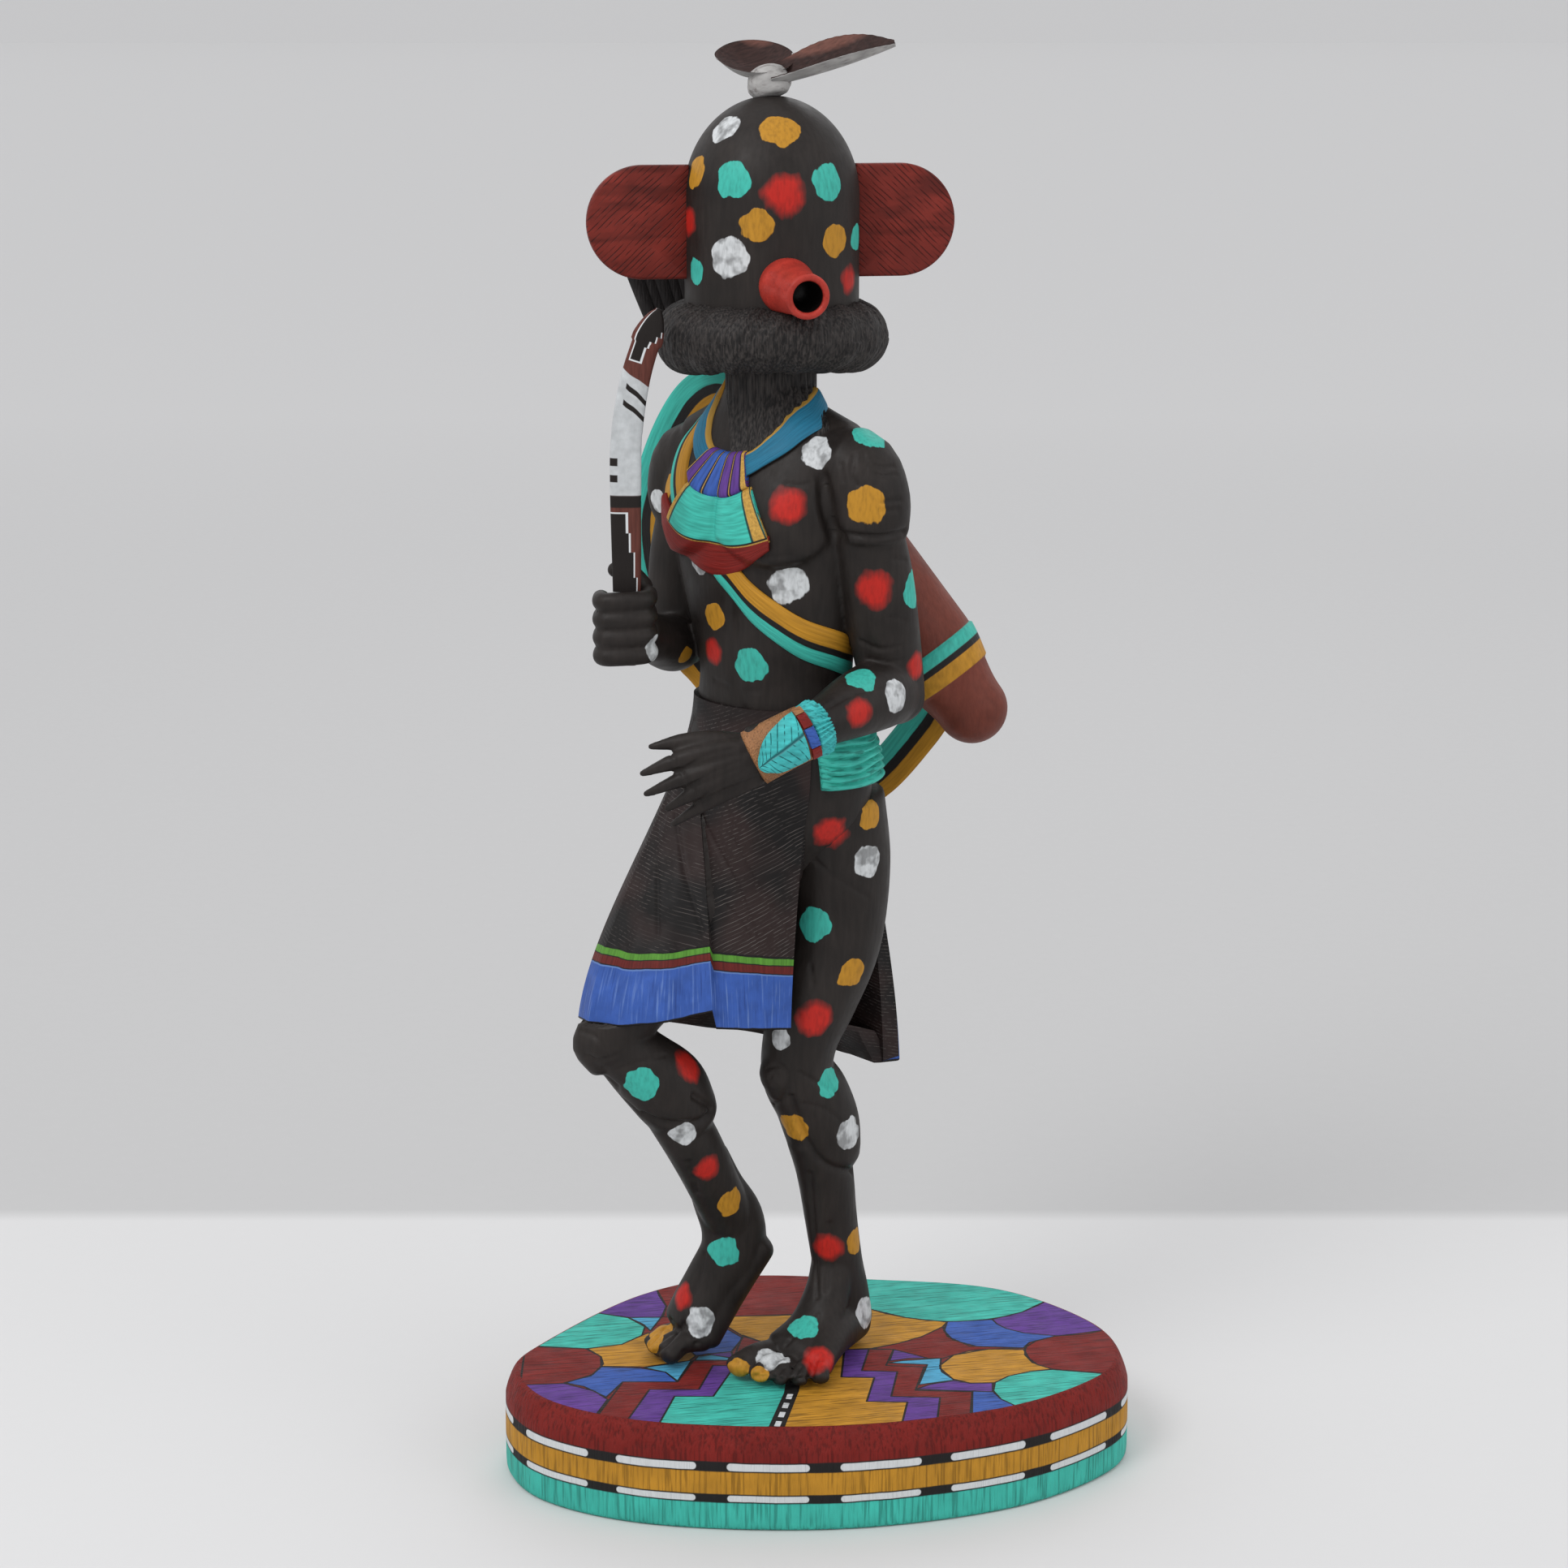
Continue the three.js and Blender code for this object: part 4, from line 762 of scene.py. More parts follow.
# %% Kilt surface
WAIST = 242
hem_front = [[-9.5, -30, 131], [-22, -37, 133], [-35, -42, 135]]
hem_lap = [[-36, -44, 142], [-52, -47, 139], [-67, -45, 137], [-78.5, -38, 136]]
hem_back = [[-82, -26, 134], [-77, -4, 128], [-64, 18, 120], [-42, 36, 112], [-16, 44, 106], [6, 38, 103],
            [29, 22, 102.5]]
hem_inside = [[24, 19, 103], [6, 31, 106], [-14, 14, 118], [-14, -10, 128], [-12, -27, 131]]
waist_turns = {"front": (33, 136), "lap": (138, 158), "back": (164, 330), "inside": (334, 388)}


def cloth_lines(hem, turns, count, pleats, depth):
    """Upright lines of cloth from the waist to the hem, as arrays of points."""
    shares = np.linspace(0, 1, count + 1)
    low = smooth_line(hem, count)
    t = np.linspace(0, 1, 110)
    swell = (3 * t ** 2 - 2 * t ** 3) * 0.7 + t * 0.3
    lines = []
    for share, (x, y, h) in zip(shares, low):
        top = on_trunk(turns[0] + (turns[1] - turns[0]) * share, WAIST, 1.6)
        bottom = at(x, y, h)
        line = top + (bottom - top) * swell[:, None]
        line[:, 2] = top[2] + (bottom[2] - top[2]) * t
        outward = line - at(-14, 1, 0)
        outward[:, 2] = 0
        fold = depth * math.cos(share * pleats * 2 * math.pi) if pleats else 0
        lines.append(line + unit(outward) * (fold * t)[:, None])
    return lines


# Each stretch: hem, waist turns, lines, pleats, their depth, and the height of its painted border at both ends.
stretches = [
    (hem_front, "front", 120, 0, 0, (24.8, 25.6)), (hem_lap, "lap", 120, 3, 0.5, (22.0, 26.5)),
    (hem_back, "back", 300, 5, 1.1, (26.5, 26.5)), (hem_inside, "inside", 60, 0, 0, (0.01, 0.01)),
]
lines, border = [], []
for hem, key, count, pleats, depth, ends in stretches:
    lines += cloth_lines(hem, waist_turns[key], count, pleats, depth)
    border += list(np.linspace(*ends, count + 1))
cloth = np.array(lines).transpose(1, 0, 2)


def drape(cloth, last, tree, low_h, gap=1.1):
    """Pushes the first lines of the cloth out, away from the doll's axis, until they clear the body."""
    push = np.zeros((len(cloth), last))
    ways = np.zeros((len(cloth), last, 3))
    for i in range(len(cloth)):
        for j in range(last):
            p = cloth[i, j]
            if p[2] < SOLE_LEVEL + low_h:
                continue
            axis = np.array([-14, 1, p[2]])
            way = unit(p - axis)
            ways[i, j] = way
            hit = tree.ray_cast(Vector((axis + way * 90) * MM), Vector(-way), 0.089)[0]
            if hit is not None and hit.x > -0.030:
                push[i, j] = np.clip((np.array(hit) / MM - axis) @ way + gap - (p - axis) @ way, 0, 14)
    for _ in range(6):
        padded = np.pad(push, 1, mode="edge")
        soft = (padded[:-2, 1:-1] + padded[2:, 1:-1] + padded[1:-1, :-2] + padded[1:-1, 2:]) / 4
        push = np.maximum(push, soft)
    cloth[:, :last] += ways * push[..., None]


belly_points, belly_faces = trunk()
belly = BVHTree.FromPolygons([Vector(p * MM) for p in belly_points], belly_faces)
drape(cloth, 130, tree_of(legs), 150)
drape(cloth, 130, belly, 150)
hem_ring = cloth[-1]
core = hem_ring.mean(0)
to_core = core - hem_ring
to_core[:, 2] = 0
reach = np.linalg.norm(to_core, axis=1, keepdims=True)
turned_in = [hem_ring + to_core * np.minimum(0.9, inset / reach) + [0, 0, lift]
             for inset, lift in ((0.5, -0.45), (1.3, -0.5), (3.6, -0.3), (4.2, 0.6), (9.9, 12))]
kilt = make_object("kilt", [skin(np.concatenate([cloth, turned_in]))])
kilt.data.set_sharp_from_angle(angle=math.radians(38))
climb = np.linalg.norm(np.diff(cloth, axis=0), axis=2)[::-1].cumsum(0)[::-1]
climb = np.vstack([climb, np.zeros((1, climb.shape[1]))])
share = np.minimum(climb / np.array(border), 20)
inner_share = np.repeat([[0.0], [0.0], [20], [20], [20]], cloth.shape[1], 1)
store_rings(kilt, "border", np.vstack([share, inner_share]), (20, 20))
walk = walked(cloth[-1])
store_rings(kilt, "along_hem", np.tile(walk, len(cloth) + 5))
on_lap = np.array([key != "front" for _, key, count, *_ in stretches for _ in range(count + 1)], float)
store_rings(kilt, "lap", np.tile(on_lap, len(cloth) + 5))
carve(kilt, [
    ([(808, 990), (810, 1060), (811, 1150)], 0.8, 0.5), ([(832, 1000), (843, 1070), (866, 1150)], 0.9, 0.6),
    ([(867, 1012), (886, 1050), (912, 1100), (936, 1165)], 0.8, 0.5),
    ([(903, 1034), (933, 1092), (974, 1149), (984, 1168)], 0.8, 0.5),
    ([(930, 1015), (974, 1070), (991, 1092)], 0.8, 0.5), ([(892, 1114), (914, 1138), (928, 1165)], 0.7, 0.4),
    ([(955, 1008), (985, 1045)], 0.7, 0.4), ([(772, 1166), (770, 1210), (766, 1256)], 1.2, 0.6),
    ([(836, 1168), (842, 1210), (850, 1248)], 1.2, 0.5), ([(935, 1178), (936, 1220), (935, 1264)], 1.0, 0.4),
])


# %% [markdown]
# The raised thigh pushes against the cloth. Wherever it would come through, it's drawn in to just under
# the cloth, and the effect fades out a few millimetres below the hem.

# %% Draw the thigh in
TUCK_FROM = 122


def tuck(obj, cover):
    """Draws a limb in to just under the cloth that covers it."""
    tree = tree_of(cover)
    places = points_of(obj)
    low = (SOLE_LEVEL + TUCK_FROM) * MM
    for i in np.nonzero((places[:, 0] < -0.020) & (places[:, 2] > low))[0]:
        p = Vector(places[i])
        axis = Vector((-0.014, 0.001, p.z))
        reach = (p - axis).length
        out = (p - axis) / reach
        for lift in (0, 0.0015, 0.003, 0.0045, 0.006):
            start = axis + out * 0.3 + Vector((0, 0, lift))
            hit = tree.ray_cast(start, -out)[0]
            if hit is not None:
                limit = (hit - start).length
                room = 0.3 - limit - 0.0009 + lift * 0.5
                if 0.02 < room < reach:
                    places[i] = axis + out * room
                break
    move_points(obj, places)


tuck(legs, kilt)


# %% [markdown]
# The border is measured up from the hem, so the painted bands follow each fold of the cloth.

# %% Kilt paint
def kilt_paint():
    """Black cloth with fine pale scratches in two directions and a painted border at the hem."""
    paint = Paint("kilt_paint", 0.6)
    border, along = paint.field("border"), paint.field("along_hem")
    cloth_place = paint.flat_place(along, paint.times(border, 25))
    strokes = paint.noise(0.9, (1, 0.05, 1), 3, place=cloth_place)

    def scratches(lean, gap):
        """Fine pale lines across the direction that leans by lean, some stronger and some broken."""
        way = (math.sin(lean), 0, math.cos(lean))
        across = paint.plus(paint.distance_along(way), paint.times(paint.noise(20, detail=1), 2.2 * MM))
        line = paint.ramp(paint.maths("PINGPONG", across, gap * MM), 0.34 * gap * MM, 0.1 * gap * MM)
        broken = paint.noise(0.9, (0.03, 1, 1), 2, (0, lean, 0))
        return paint.times(line, paint.ramp(broken, 0.42, 0.62))

    lap = paint.field("lap")
    lines = paint.mix(lap, scratches(-0.48, 0.62), scratches(0.26, 0.62))
    lines = paint.times(lines, paint.ramp(paint.noise(22, detail=1), 0.36, 0.58, 0.15, 1.0))
    colour = paint.mix(paint.ramp(paint.noise(20, detail=1), 0.4, 0.6), (0.008, 0.007, 0.007), (0.024, 0.014, 0.013))
    colour = paint.mix(paint.times(lines, 0.75), colour, (0.16, 0.14, 0.13))
    blue = paint.shade(PAINTS["blue"], paint.noise(6), 0.7, 1.15)
    blue = paint.mix(paint.ramp(strokes, 0.56, 0.68, 0, 0.55), blue, (0.15, 0.24, 0.50))
    blue = paint.mix(paint.ramp(strokes, 0.42, 0.3, 0, 0.6), blue, (0.014, 0.035, 0.16))
    maroon = paint.shade((0.10, 0.012, 0.010), strokes, 0.6, 1.5)
    green = paint.shade(PAINTS["green"], strokes, 0.6, 1.25)
    level = paint.plus(border, paint.swing(paint.noise(5), 0.03))
    ink, pale_blue = (0.008, 0.007, 0.007), (0.10, 0.18, 0.42)
    # From the top down, each tone covers all that lies below its upper edge.
    bands = [(1.03, ink), (1.0, green), (0.91, ink), (0.895, maroon), (0.79, ink), (0.775, pale_blue),
             (0.755, blue), (0.02, ink)]
    for upper_edge, tone in bands:
        colour = paint.mix(paint.ramp(level, upper_edge, upper_edge - 0.008), colour, tone)
    height = paint.mix(paint.ramp(level, 1.0, 0.99), lines, strokes)
    return paint.finish(colour, height, 0.3)


dress(kilt, kilt_paint())

# %% [markdown]
# ## Sash, collar, pendant and baldric
# These are low bands that follow the trunk. Each is a strip with rounded edges, swept along a line that
# is given as turn and height on the trunk, so it can't leave the surface that it lies on.

# %% Strips on the trunk
def strip(name, stops, rise, count=120, across=16, sink=2.0, bulge=0.3):
    """A band round the trunk. Each stop is [turn, height, width]."""
    rows = smooth_line(stops, count)
    rings = []
    edge = np.linspace(-1, 1, across)
    for turn, h, wide in rows:
        outer = on_trunk(turn, h + wide / 2 * edge, rise * (1 - abs(edge) ** 8 * 0.6) + bulge * (1 - edge ** 2))
        low, high = on_trunk(turn, h - wide / 2, -sink), on_trunk(turn, h + wide / 2, -sink)
        rings.append(np.vstack([low, outer, high]))
    obj = make_object(name, [skin(rings)])
    side = np.concatenate([[-1.2], np.linspace(-1, 1, across), [1.2]])
    store_rings(obj, "across", np.tile(side, len(rows)))
    walk = walked(np.array(rings)[:, 1 + across // 2])
    store_rings(obj, "along", np.repeat(walk, across + 2))
    return obj


def striped_paint(name, stripes, wobble=0.05, stroke=(0.05, 1, 1), depth=0.2):
    """Stripes across a band. stripes = [(upper limit from -1 to 1, colour name)]."""
    paint = Paint(name, 0.55)
    across, along = paint.field("across"), paint.field("along")
    strokes = paint.noise(0.7, stroke, 2, place=paint.flat_place(along, paint.times(across, 6)))
    shaky = paint.plus(across, paint.swing(paint.noise(4), wobble))
    colour = paint.shade(PAINTS[stripes[-1][1]], strokes, 0.7, 1.2)
    for limit, name in reversed(stripes[:-1]):
        tone = paint.shade(PAINTS[name], strokes, 0.7, 1.2)
        colour = paint.mix(paint.ramp(shaky, limit + 0.02, limit - 0.02), colour, tone)
    return paint.finish(colour, strokes, depth)


baldric = strip("baldric", [
    [175, 350, 10], [160, 349.5, 12], [148, 343.5, 15], [135, 333, 19], [122, 318.5, 18], [111, 306, 16],
    [97, 294, 14], [85, 287, 14], [73, 279.5, 14], [57, 273, 14], [37, 267, 14], [10, 262.5, 14],
    [-15, 259, 14], [-45, 256, 14],
], 1.3, 200)
dress(baldric, striped_paint("baldric_paint", [(-0.28, "turquoise"), (0.05, "black"), (1.2, "ochre")]))
print("baldric and collar laid on the trunk")

collar = strip("collar", [
    [-20, 346, 7], [0, 343.5, 8], [14, 341.5, 8.5], [30, 339.5, 8.5], [45, 336.5, 8.5],
    [64, 330.5, 8.5], [78, 325, 8.5],
    [94, 322.5, 8], [104, 325.5, 8], [113, 329.5, 8], [121, 333.5, 8], [132, 338, 8], [142, 342, 8], [160, 346, 7],
], 1.9)
dress(collar, striped_paint("collar_paint", [(-0.9, "black"), (0.80, "teal"), (1.2, "gold")]))

# %% [markdown]
# The pendant is three plates on top of each other, each a little higher than the one below.

# %% Pendant tiers
def tier(name, top_edge, bottom_edge, rise, count=120, steps=24):
    """A plate on the chest between two edges, each a row of [turn, height] from its left to its right."""
    high, low = smooth_line(top_edge, count), smooth_line(bottom_edge, count)
    t = np.linspace(0, 1, steps)[:, None]
    rows = []
    for a, b in zip(low, high):
        line = a + (b - a) * t
        outer = on_trunk(line[:, 0], line[:, 1], rise * (1 - 0.5 * (2 * t[:, 0] - 1) ** 10))
        rows.append(np.vstack([on_trunk(*a, -1.5), outer, on_trunk(*b, -1.5)]))
    obj = make_object(name, [skin(rows)])
    store_rings(obj, "across", np.tile(np.concatenate([[-0.1], t[:, 0], [1.1]]), count + 1))
    store_rings(obj, "along", np.repeat(np.linspace(0, 1, count + 1), steps + 2))
    return obj


def tier_paint(name, fields, lines, low_line, size):
    """fields = [(upper limit along, colour)], lines = gold lines along, low_line = gold share at the low edge."""
    paint = Paint(name, 0.5)
    across, along = paint.field("across"), paint.field("along")
    place = paint.flat_place(paint.times(along, size), paint.times(across, 14))
    strokes = paint.noise(0.7, (1, 0.1, 1) if len(lines) > 2 else (0.08, 1, 1), 2, place=place)
    colour = paint.shade(PAINTS[fields[-1][1]], strokes, 0.6, 1.35)
    for limit, name in reversed(fields[:-1]):
        tone = paint.shade(PAINTS[name], strokes, 0.6, 1.35)
        colour = paint.mix(paint.ramp(along, limit + 0.004, limit - 0.004), colour, tone)
    gold = paint.shade(PAINTS["gold"], paint.noise(0.8), 0.6, 1.3)
    groove = None
    for middle, half in lines:
        off = paint.maths("ABSOLUTE", paint.minus(along, middle))
        ink = paint.ramp(off, half + 0.02, half + 0.012)
        colour = paint.mix(paint.mix(ink, (0, 0, 0), (0.9, 0.9, 0.9)), colour, (0.01, 0.008, 0.01))
        colour = paint.mix(paint.ramp(off, half, half - 0.006), colour, gold)
        groove = ink if groove is None else paint.most(groove, ink)
    if low_line:
        colour = paint.mix(paint.ramp(across, low_line + 0.03, low_line + 0.02), colour, (0.01, 0.008, 0.01))
        colour = paint.mix(paint.ramp(across, low_line, low_line - 0.015), colour, gold)
    height = strokes if groove is None else paint.minus(paint.times(strokes, 0.4), groove)
    return paint.finish(colour, height, 0.3)


pendant_tiers = [
    ("pendant_edge", [[133, 312], [118, 305], [103, 300], [83, 300], [70, 301], [60.5, 303]],
     [[131, 300], [124, 294.5], [113, 290], [100, 287.4], [87, 287.4], [73, 291.5], [60, 298]], 1.9,
     [(1, "maroon")], [], 0.0, 40),
    ("pendant_middle", [[110, 318], [96, 314.5], [84, 315], [73, 318.5]],
     [[124, 303.2], [114, 299.4], [103, 297.8], [84, 297.2], [72, 298.2], [60, 301]], 2.5,
     [(1, "turquoise")], [(0.94, 0.05), (0.0, 0.045)], 0.07, 34),
    ("pendant_top", [[102.5, 329.5], [92, 328.5], [79.5, 329.5]],
     [[113, 320.5], [107.6, 316], [96.7, 313.6], [85.3, 314], [74, 318]], 3.0,
     [(0.22, "purple"), (0.42, "blue"), (0.62, "blue"), (1, "purple")],
     [(0.0, 0.02), (0.22, 0.008), (0.42, 0.008), (0.62, 0.008), (0.8, 0.008), (0.975, 0.035)], 0.0, 16),
]
for name, top_edge, bottom_edge, rise_mm, *look in pendant_tiers:
    dress(tier(name, top_edge, bottom_edge, rise_mm), tier_paint(name + "_paint", *look))

# %% [markdown]
# The sash is folded in seven soft level pleats. Each pleat is a round ridge, and they wander slightly up
# and down so that it reads as cloth.

# %% Sash
SASH_LOW, SASH_HIGH, SASH_FOLDS = 215.5, 235, 7
rows = []
for turn in np.linspace(-62, 32, 120):
    share = np.linspace(0, 1, 120)
    wander = 0.05 * math.sin(turn / 9) * np.sin(share * 5)
    wave = abs(np.sin((share + wander) * SASH_FOLDS * math.pi))
    edge_round = 1 - 0.55 * ease((abs(turn + 15) - 42) / 5)
    outer = on_trunk(turn, SASH_LOW + (SASH_HIGH - SASH_LOW) * share, (2.6 + 2.0 * wave ** 0.6) * edge_round)
    rows.append(np.vstack([on_trunk(turn, SASH_LOW, -2), outer, on_trunk(turn, SASH_HIGH, -2)]))
sash = make_object("sash", [skin(rows)])
dress(sash, stroked_paint("sash_paint", PAINTS["turquoise"], (0.12, 0.12, 1), 1.0, 0.25, 0.65))

# %% [markdown]
# ## Mask, ears, snout and ruff
# The mask is a turned dome. The ears are flat paddles with eased edges, the snout is a turned tube with
# a bored mouth, and the ruff is a thick fur roll carved with many fine slanting cuts.

# %% Mask
HEAD = (-16, 0)
MASK_RADIUS, MASK_DOME, MASK_TOP, RUFF_HEIGHT = 29.3, 33, 445, 365.5


def turned(profile, centre, axis, side, around=96):
    """A turned piece: profile of [radius, distance along the axis]."""
    deep = np.cross(axis, side)
    turn = np.linspace(0, 2 * math.pi, around, endpoint=False)
    rings = [centre + axis * a + r * (np.outer(np.cos(turn), side) + np.outer(np.sin(turn), deep)) for r, a in profile]
    return skin(rings)


dome_start = MASK_TOP - MASK_DOME
angles = np.linspace(0, math.pi / 2 - 0.02, 44)
mask_profile = [[MASK_RADIUS, h] for h in np.linspace(RUFF_HEIGHT, dome_start, 50)[:-1]]
mask_profile += [[MASK_RADIUS * math.cos(a), dome_start + MASK_DOME * math.sin(a)] for a in angles]
mask = make_object("mask", [turned(mask_profile, at(*HEAD, 0), up, head_left, 140)])
spot_fields(mask, [
    ("white", 893, 158, 40), ("ochre", 961, 160, 46), ("ochre", 857, 212, 38), ("turquoise", 903, 222, 44),
    ("turquoise", 1020, 225, 44), ("red", 967, 240, 48), ("ochre", 932, 279, 42), ("white", 898, 318, 50),
    ("red", 849, 273, 34), ("turquoise", 857, 334, 34), ("ochre", 1030, 295, 40), ("turquoise", 1055, 293, 34),
    ("red", 1046, 345, 34), ("white", 1050, 180, 32),
], [
    ("red", at(-40, 18, 400), 6), ("white", at(-28, 28, 420), 6.5), ("turquoise", at(-10, 30, 405), 6.5),
    ("ochre", at(8, 18, 415), 6), ("red", at(-16, 22, 433), 6), ("white", at(4, 23, 390), 6),
    ("ochre", at(-28, 27, 388), 6),
])
dress(mask, spotted_paint("mask_paint"))

# %% [markdown]
# A profile turned about the snout's own line gives the flared root, the tube and the bore.

# %% Snout
SNOUT_TURN, SNOUT_DIP = math.radians(8), math.radians(4.4)
SNOUT_HEIGHT, SNOUT_SHIFT = 387, -4
c, s = math.cos(SNOUT_TURN), math.sin(SNOUT_TURN)
aim = np.array([head_front[0] * c - head_front[1] * s, head_front[0] * s + head_front[1] * c, 0])
aim[2] = -math.tan(SNOUT_DIP)
aim = unit(aim)
snout_side = unit(np.cross(aim, up))
root, tip = MASK_RADIUS - 2.6, MASK_RADIUS + 23
snout_profile = [
    [0.5, root], [9.0, root], [9.3, root + 2.5], [9.2, root + 4.6], [8.8, root + 6.6], [8.3, root + 8.6],
    [7.9, root + 11], [7.4, root + 16], [7.4, tip - 2], [7.35, tip - 1], [7.1, tip - 0.3], [6.6, tip],
    [5.8, tip - 0.1], [5.3, tip - 0.5], [5.0, tip - 1.4], [4.9, tip - 14], [0.5, tip - 14],
]
seat = at(HEAD[0] + SNOUT_SHIFT, 0, SNOUT_HEIGHT)
snout = make_object("snout", [turned(snout_profile, seat, aim, snout_side, 80)])
away = points_of(snout) / MM - seat
reach = away @ aim
# bore marks the inside of the tube, which the paint turns near-black as painted shade.
bore = (np.linalg.norm(away - np.outer(reach, aim), axis=1) < 5.15) & (reach < tip - 0.9)
store(snout, "bore", bore.astype(float))


def snout_paint():
    """Red gloss, darker in its strokes, with painted shade: near-black inside the bore."""
    paint = Paint("snout_paint", 0.38)
    wash = paint.noise(5, detail=3)
    colour = paint.shade((0.38, 0.034, 0.023), wash, 0.7, 1.25)
    colour = paint.mix(paint.ramp(paint.noise(0.9, (1, 0.2, 1)), 0.56, 0.7, 0, 0.4), colour, (0.2, 0.012, 0.008))
    # Painted shade: the inside of the bore is painted near-black.
    colour = paint.mix(paint.ramp(paint.field("bore"), 0.3, 0.9), colour, (0.004, 0.003, 0.003))
    return paint.finish(colour, paint.noise(0.8, detail=2), 0.08)


dress(snout, snout_paint(), "snout")

# %% [markdown]
# The outline shrinks a little towards each flat face, which eases the edges as sandpaper does.

# %% Ears
EAR_REACH, EAR_HEIGHT, EAR_THICK, EAR_LEVEL = 62.3, 37.5, 5.0, 404


def ear(direction):
    """A paddle with eased edges, lofted from its underside to its upper side."""
    half = EAR_HEIGHT / 2
    straight = EAR_REACH - half
    start = MASK_RADIUS - 1.2
    arc = np.linspace(-math.pi / 2, math.pi / 2, 60)
    outline = [[start + (straight - start) * t, -half] for t in np.linspace(0, 1, 12)[:-1]]
    outline += [[straight + half * math.cos(a), half * math.sin(a)] for a in arc]
    outline += [[straight + (start - straight) * t, half] for t in np.linspace(0, 1, 12)[1:]]
    outline = np.array(outline)
    middle = np.array([start, 0])
    rings = []
    eased = [(0.3, 0), (0.7, 0.12), (0.94, 0.5), (1, 1.2)]
    for depth, shrink in [(-d, s) for d, s in eased[::-1]] + eased:
        inset = outline - np.array([straight * 0.8, 0])
        length = np.linalg.norm(inset, axis=1, keepdims=True)
        shape = outline - inset / length * shrink
        shape[:, 0] = np.maximum(shape[:, 0], start)
        rings.append(at(*HEAD, EAR_LEVEL) + np.outer(shape[:, 0], head_left) * direction + np.outer(shape[:, 1], up)
                     + head_front * depth * EAR_THICK / 2)
    return skin(rings)


for name, direction, lean in (("left_ear", 1, 0.75), ("right_ear", -1, -0.75)):
    paddle = make_object(name, [ear(direction)])
    way = (math.sin(lean), 0, math.cos(lean))
    dress(paddle, hatched_paint(name + "_paint", (0.155, 0.018, 0.012), way, 0.75), name)

# %% [markdown]
# The roll is a ring of circles. Slanting waves lift and lower its surface into strands and tufts.

# %% Ruff
def waves(points, count, scale, seed):
    """Smooth seeded noise from -1 to 1, as a sum of slanting waves."""
    rng = np.random.default_rng(seed)
    total = np.zeros(len(points))
    for _ in range(count):
        direction = rng.normal(size=points.shape[1])
        total += np.sin(points @ direction * scale + rng.uniform(0, 2 * math.pi))
    return total / math.sqrt(count)


RUFF_THICK, RUFF_REACH = 25, 39.5
half_thick = RUFF_THICK / 2
around, across = 640, 110
turn = np.linspace(0, 2 * math.pi, around, endpoint=False)[:, None] * np.ones(across)
roll = np.linspace(0, 2 * math.pi, across, endpoint=False)[None, :] * np.ones((around, 1))
out = np.cos(turn)[..., None] * head_left + np.sin(turn)[..., None] * head_front
front_share = np.maximum(0, np.sin(turn))
tufts = 0.035 * np.cos(18 * turn + 2.2 * roll)
coords = np.stack([turn * 27, roll * 12.5], -1).reshape(-1, 2)
slant = coords[:, 0] + 0.35 * coords[:, 1]
strands = np.sin(slant * 2.9 + 2.5 * waves(coords, 6, 0.12, 3)) * 0.5
strands = strands + np.sin(slant * 5.3 + 3 * waves(coords, 6, 0.2, 4)) * 0.3
clumps = waves(coords, 14, 0.28, 5) * 0.25
lift = (1 + tufts.ravel()) * half_thick + 0.28 * strands + 0.5 * clumps - 0.45
lift = lift.reshape(turn.shape)
height = RUFF_HEIGHT + front_share * 1.6 + lift * np.sin(roll) * (1 - 0.1 * front_share)
radial = RUFF_REACH - half_thick + lift * np.cos(roll)
ring_points = out * radial[..., None] + np.stack([0 * turn + HEAD[0], 0 * turn + HEAD[1], height + SOLE_LEVEL], -1)
ring_points = ring_points.reshape(-1, 3)
faces = []
for i in range(around):
    for j in range(across):
        a, b = i * across + j, ((i + 1) % around) * across + j
        k = (j + 1) % across
        faces.append((a, b, ((i + 1) % around) * across + k, i * across + k))
ruff = make_object("fur_ruff", [(ring_points, faces)])


def fur_paint():
    """Dark strands with paler tips."""
    paint = Paint("fur_paint", 0.55)
    hair = paint.noise(0.7, (1, 1, 0.12), 4)
    colour = paint.mix(paint.ramp(hair, 0.4, 0.7), (0.009, 0.008, 0.008), (0.05, 0.043, 0.04))
    return paint.finish(colour, hair, 0.35)


fur = fur_paint()
dress(ruff, fur)

# %% [markdown]
# The fringe hangs straight down from the ruff in fine ribs. At the front and back each rib is pushed out
# by the chest or the nape that it lies on.

# %% Neck fringe
RIBS, NECK = 28, (-16.3, -0.5)
rings = []
torso_tree = tree_of(torso)
turns = np.linspace(0, 2 * math.pi, RIBS * 10, endpoint=False)
for h in np.linspace(327, 368, 34):
    radius = 15.1 + 0.8 * np.abs(np.cos(turns * RIBS / 2)) - 0.4
    centre = at(*NECK, h)
    ring = []
    for turn, reach in zip(turns, radius):
        across, deep = reach * math.cos(turn), reach * math.sin(turn)
        way = head_front * (1 if deep >= 0 else -1)
        start = centre + head_left * across + way * 60
        hit = torso_tree.ray_cast(Vector(start * MM), Vector(-way), 0.06)[0]
        if hit is not None:
            pushed = (np.array(hit) / MM - centre) @ way + 0.5 + 0.8 * abs(math.cos(turn * RIBS / 2))
            deep = math.copysign(max(abs(deep), min(pushed, 24)), deep)
        ring.append(centre + head_left * across + head_front * deep)
    rings.append(ring)
fringe = make_object("neck_fringe", [skin(rings)])
dress(fringe, fur)

# %% [markdown]
# ## Crest and head fan
# Two carved feathers rise from a knob on the crown, and a dark fan of ribs stands behind the ruff.

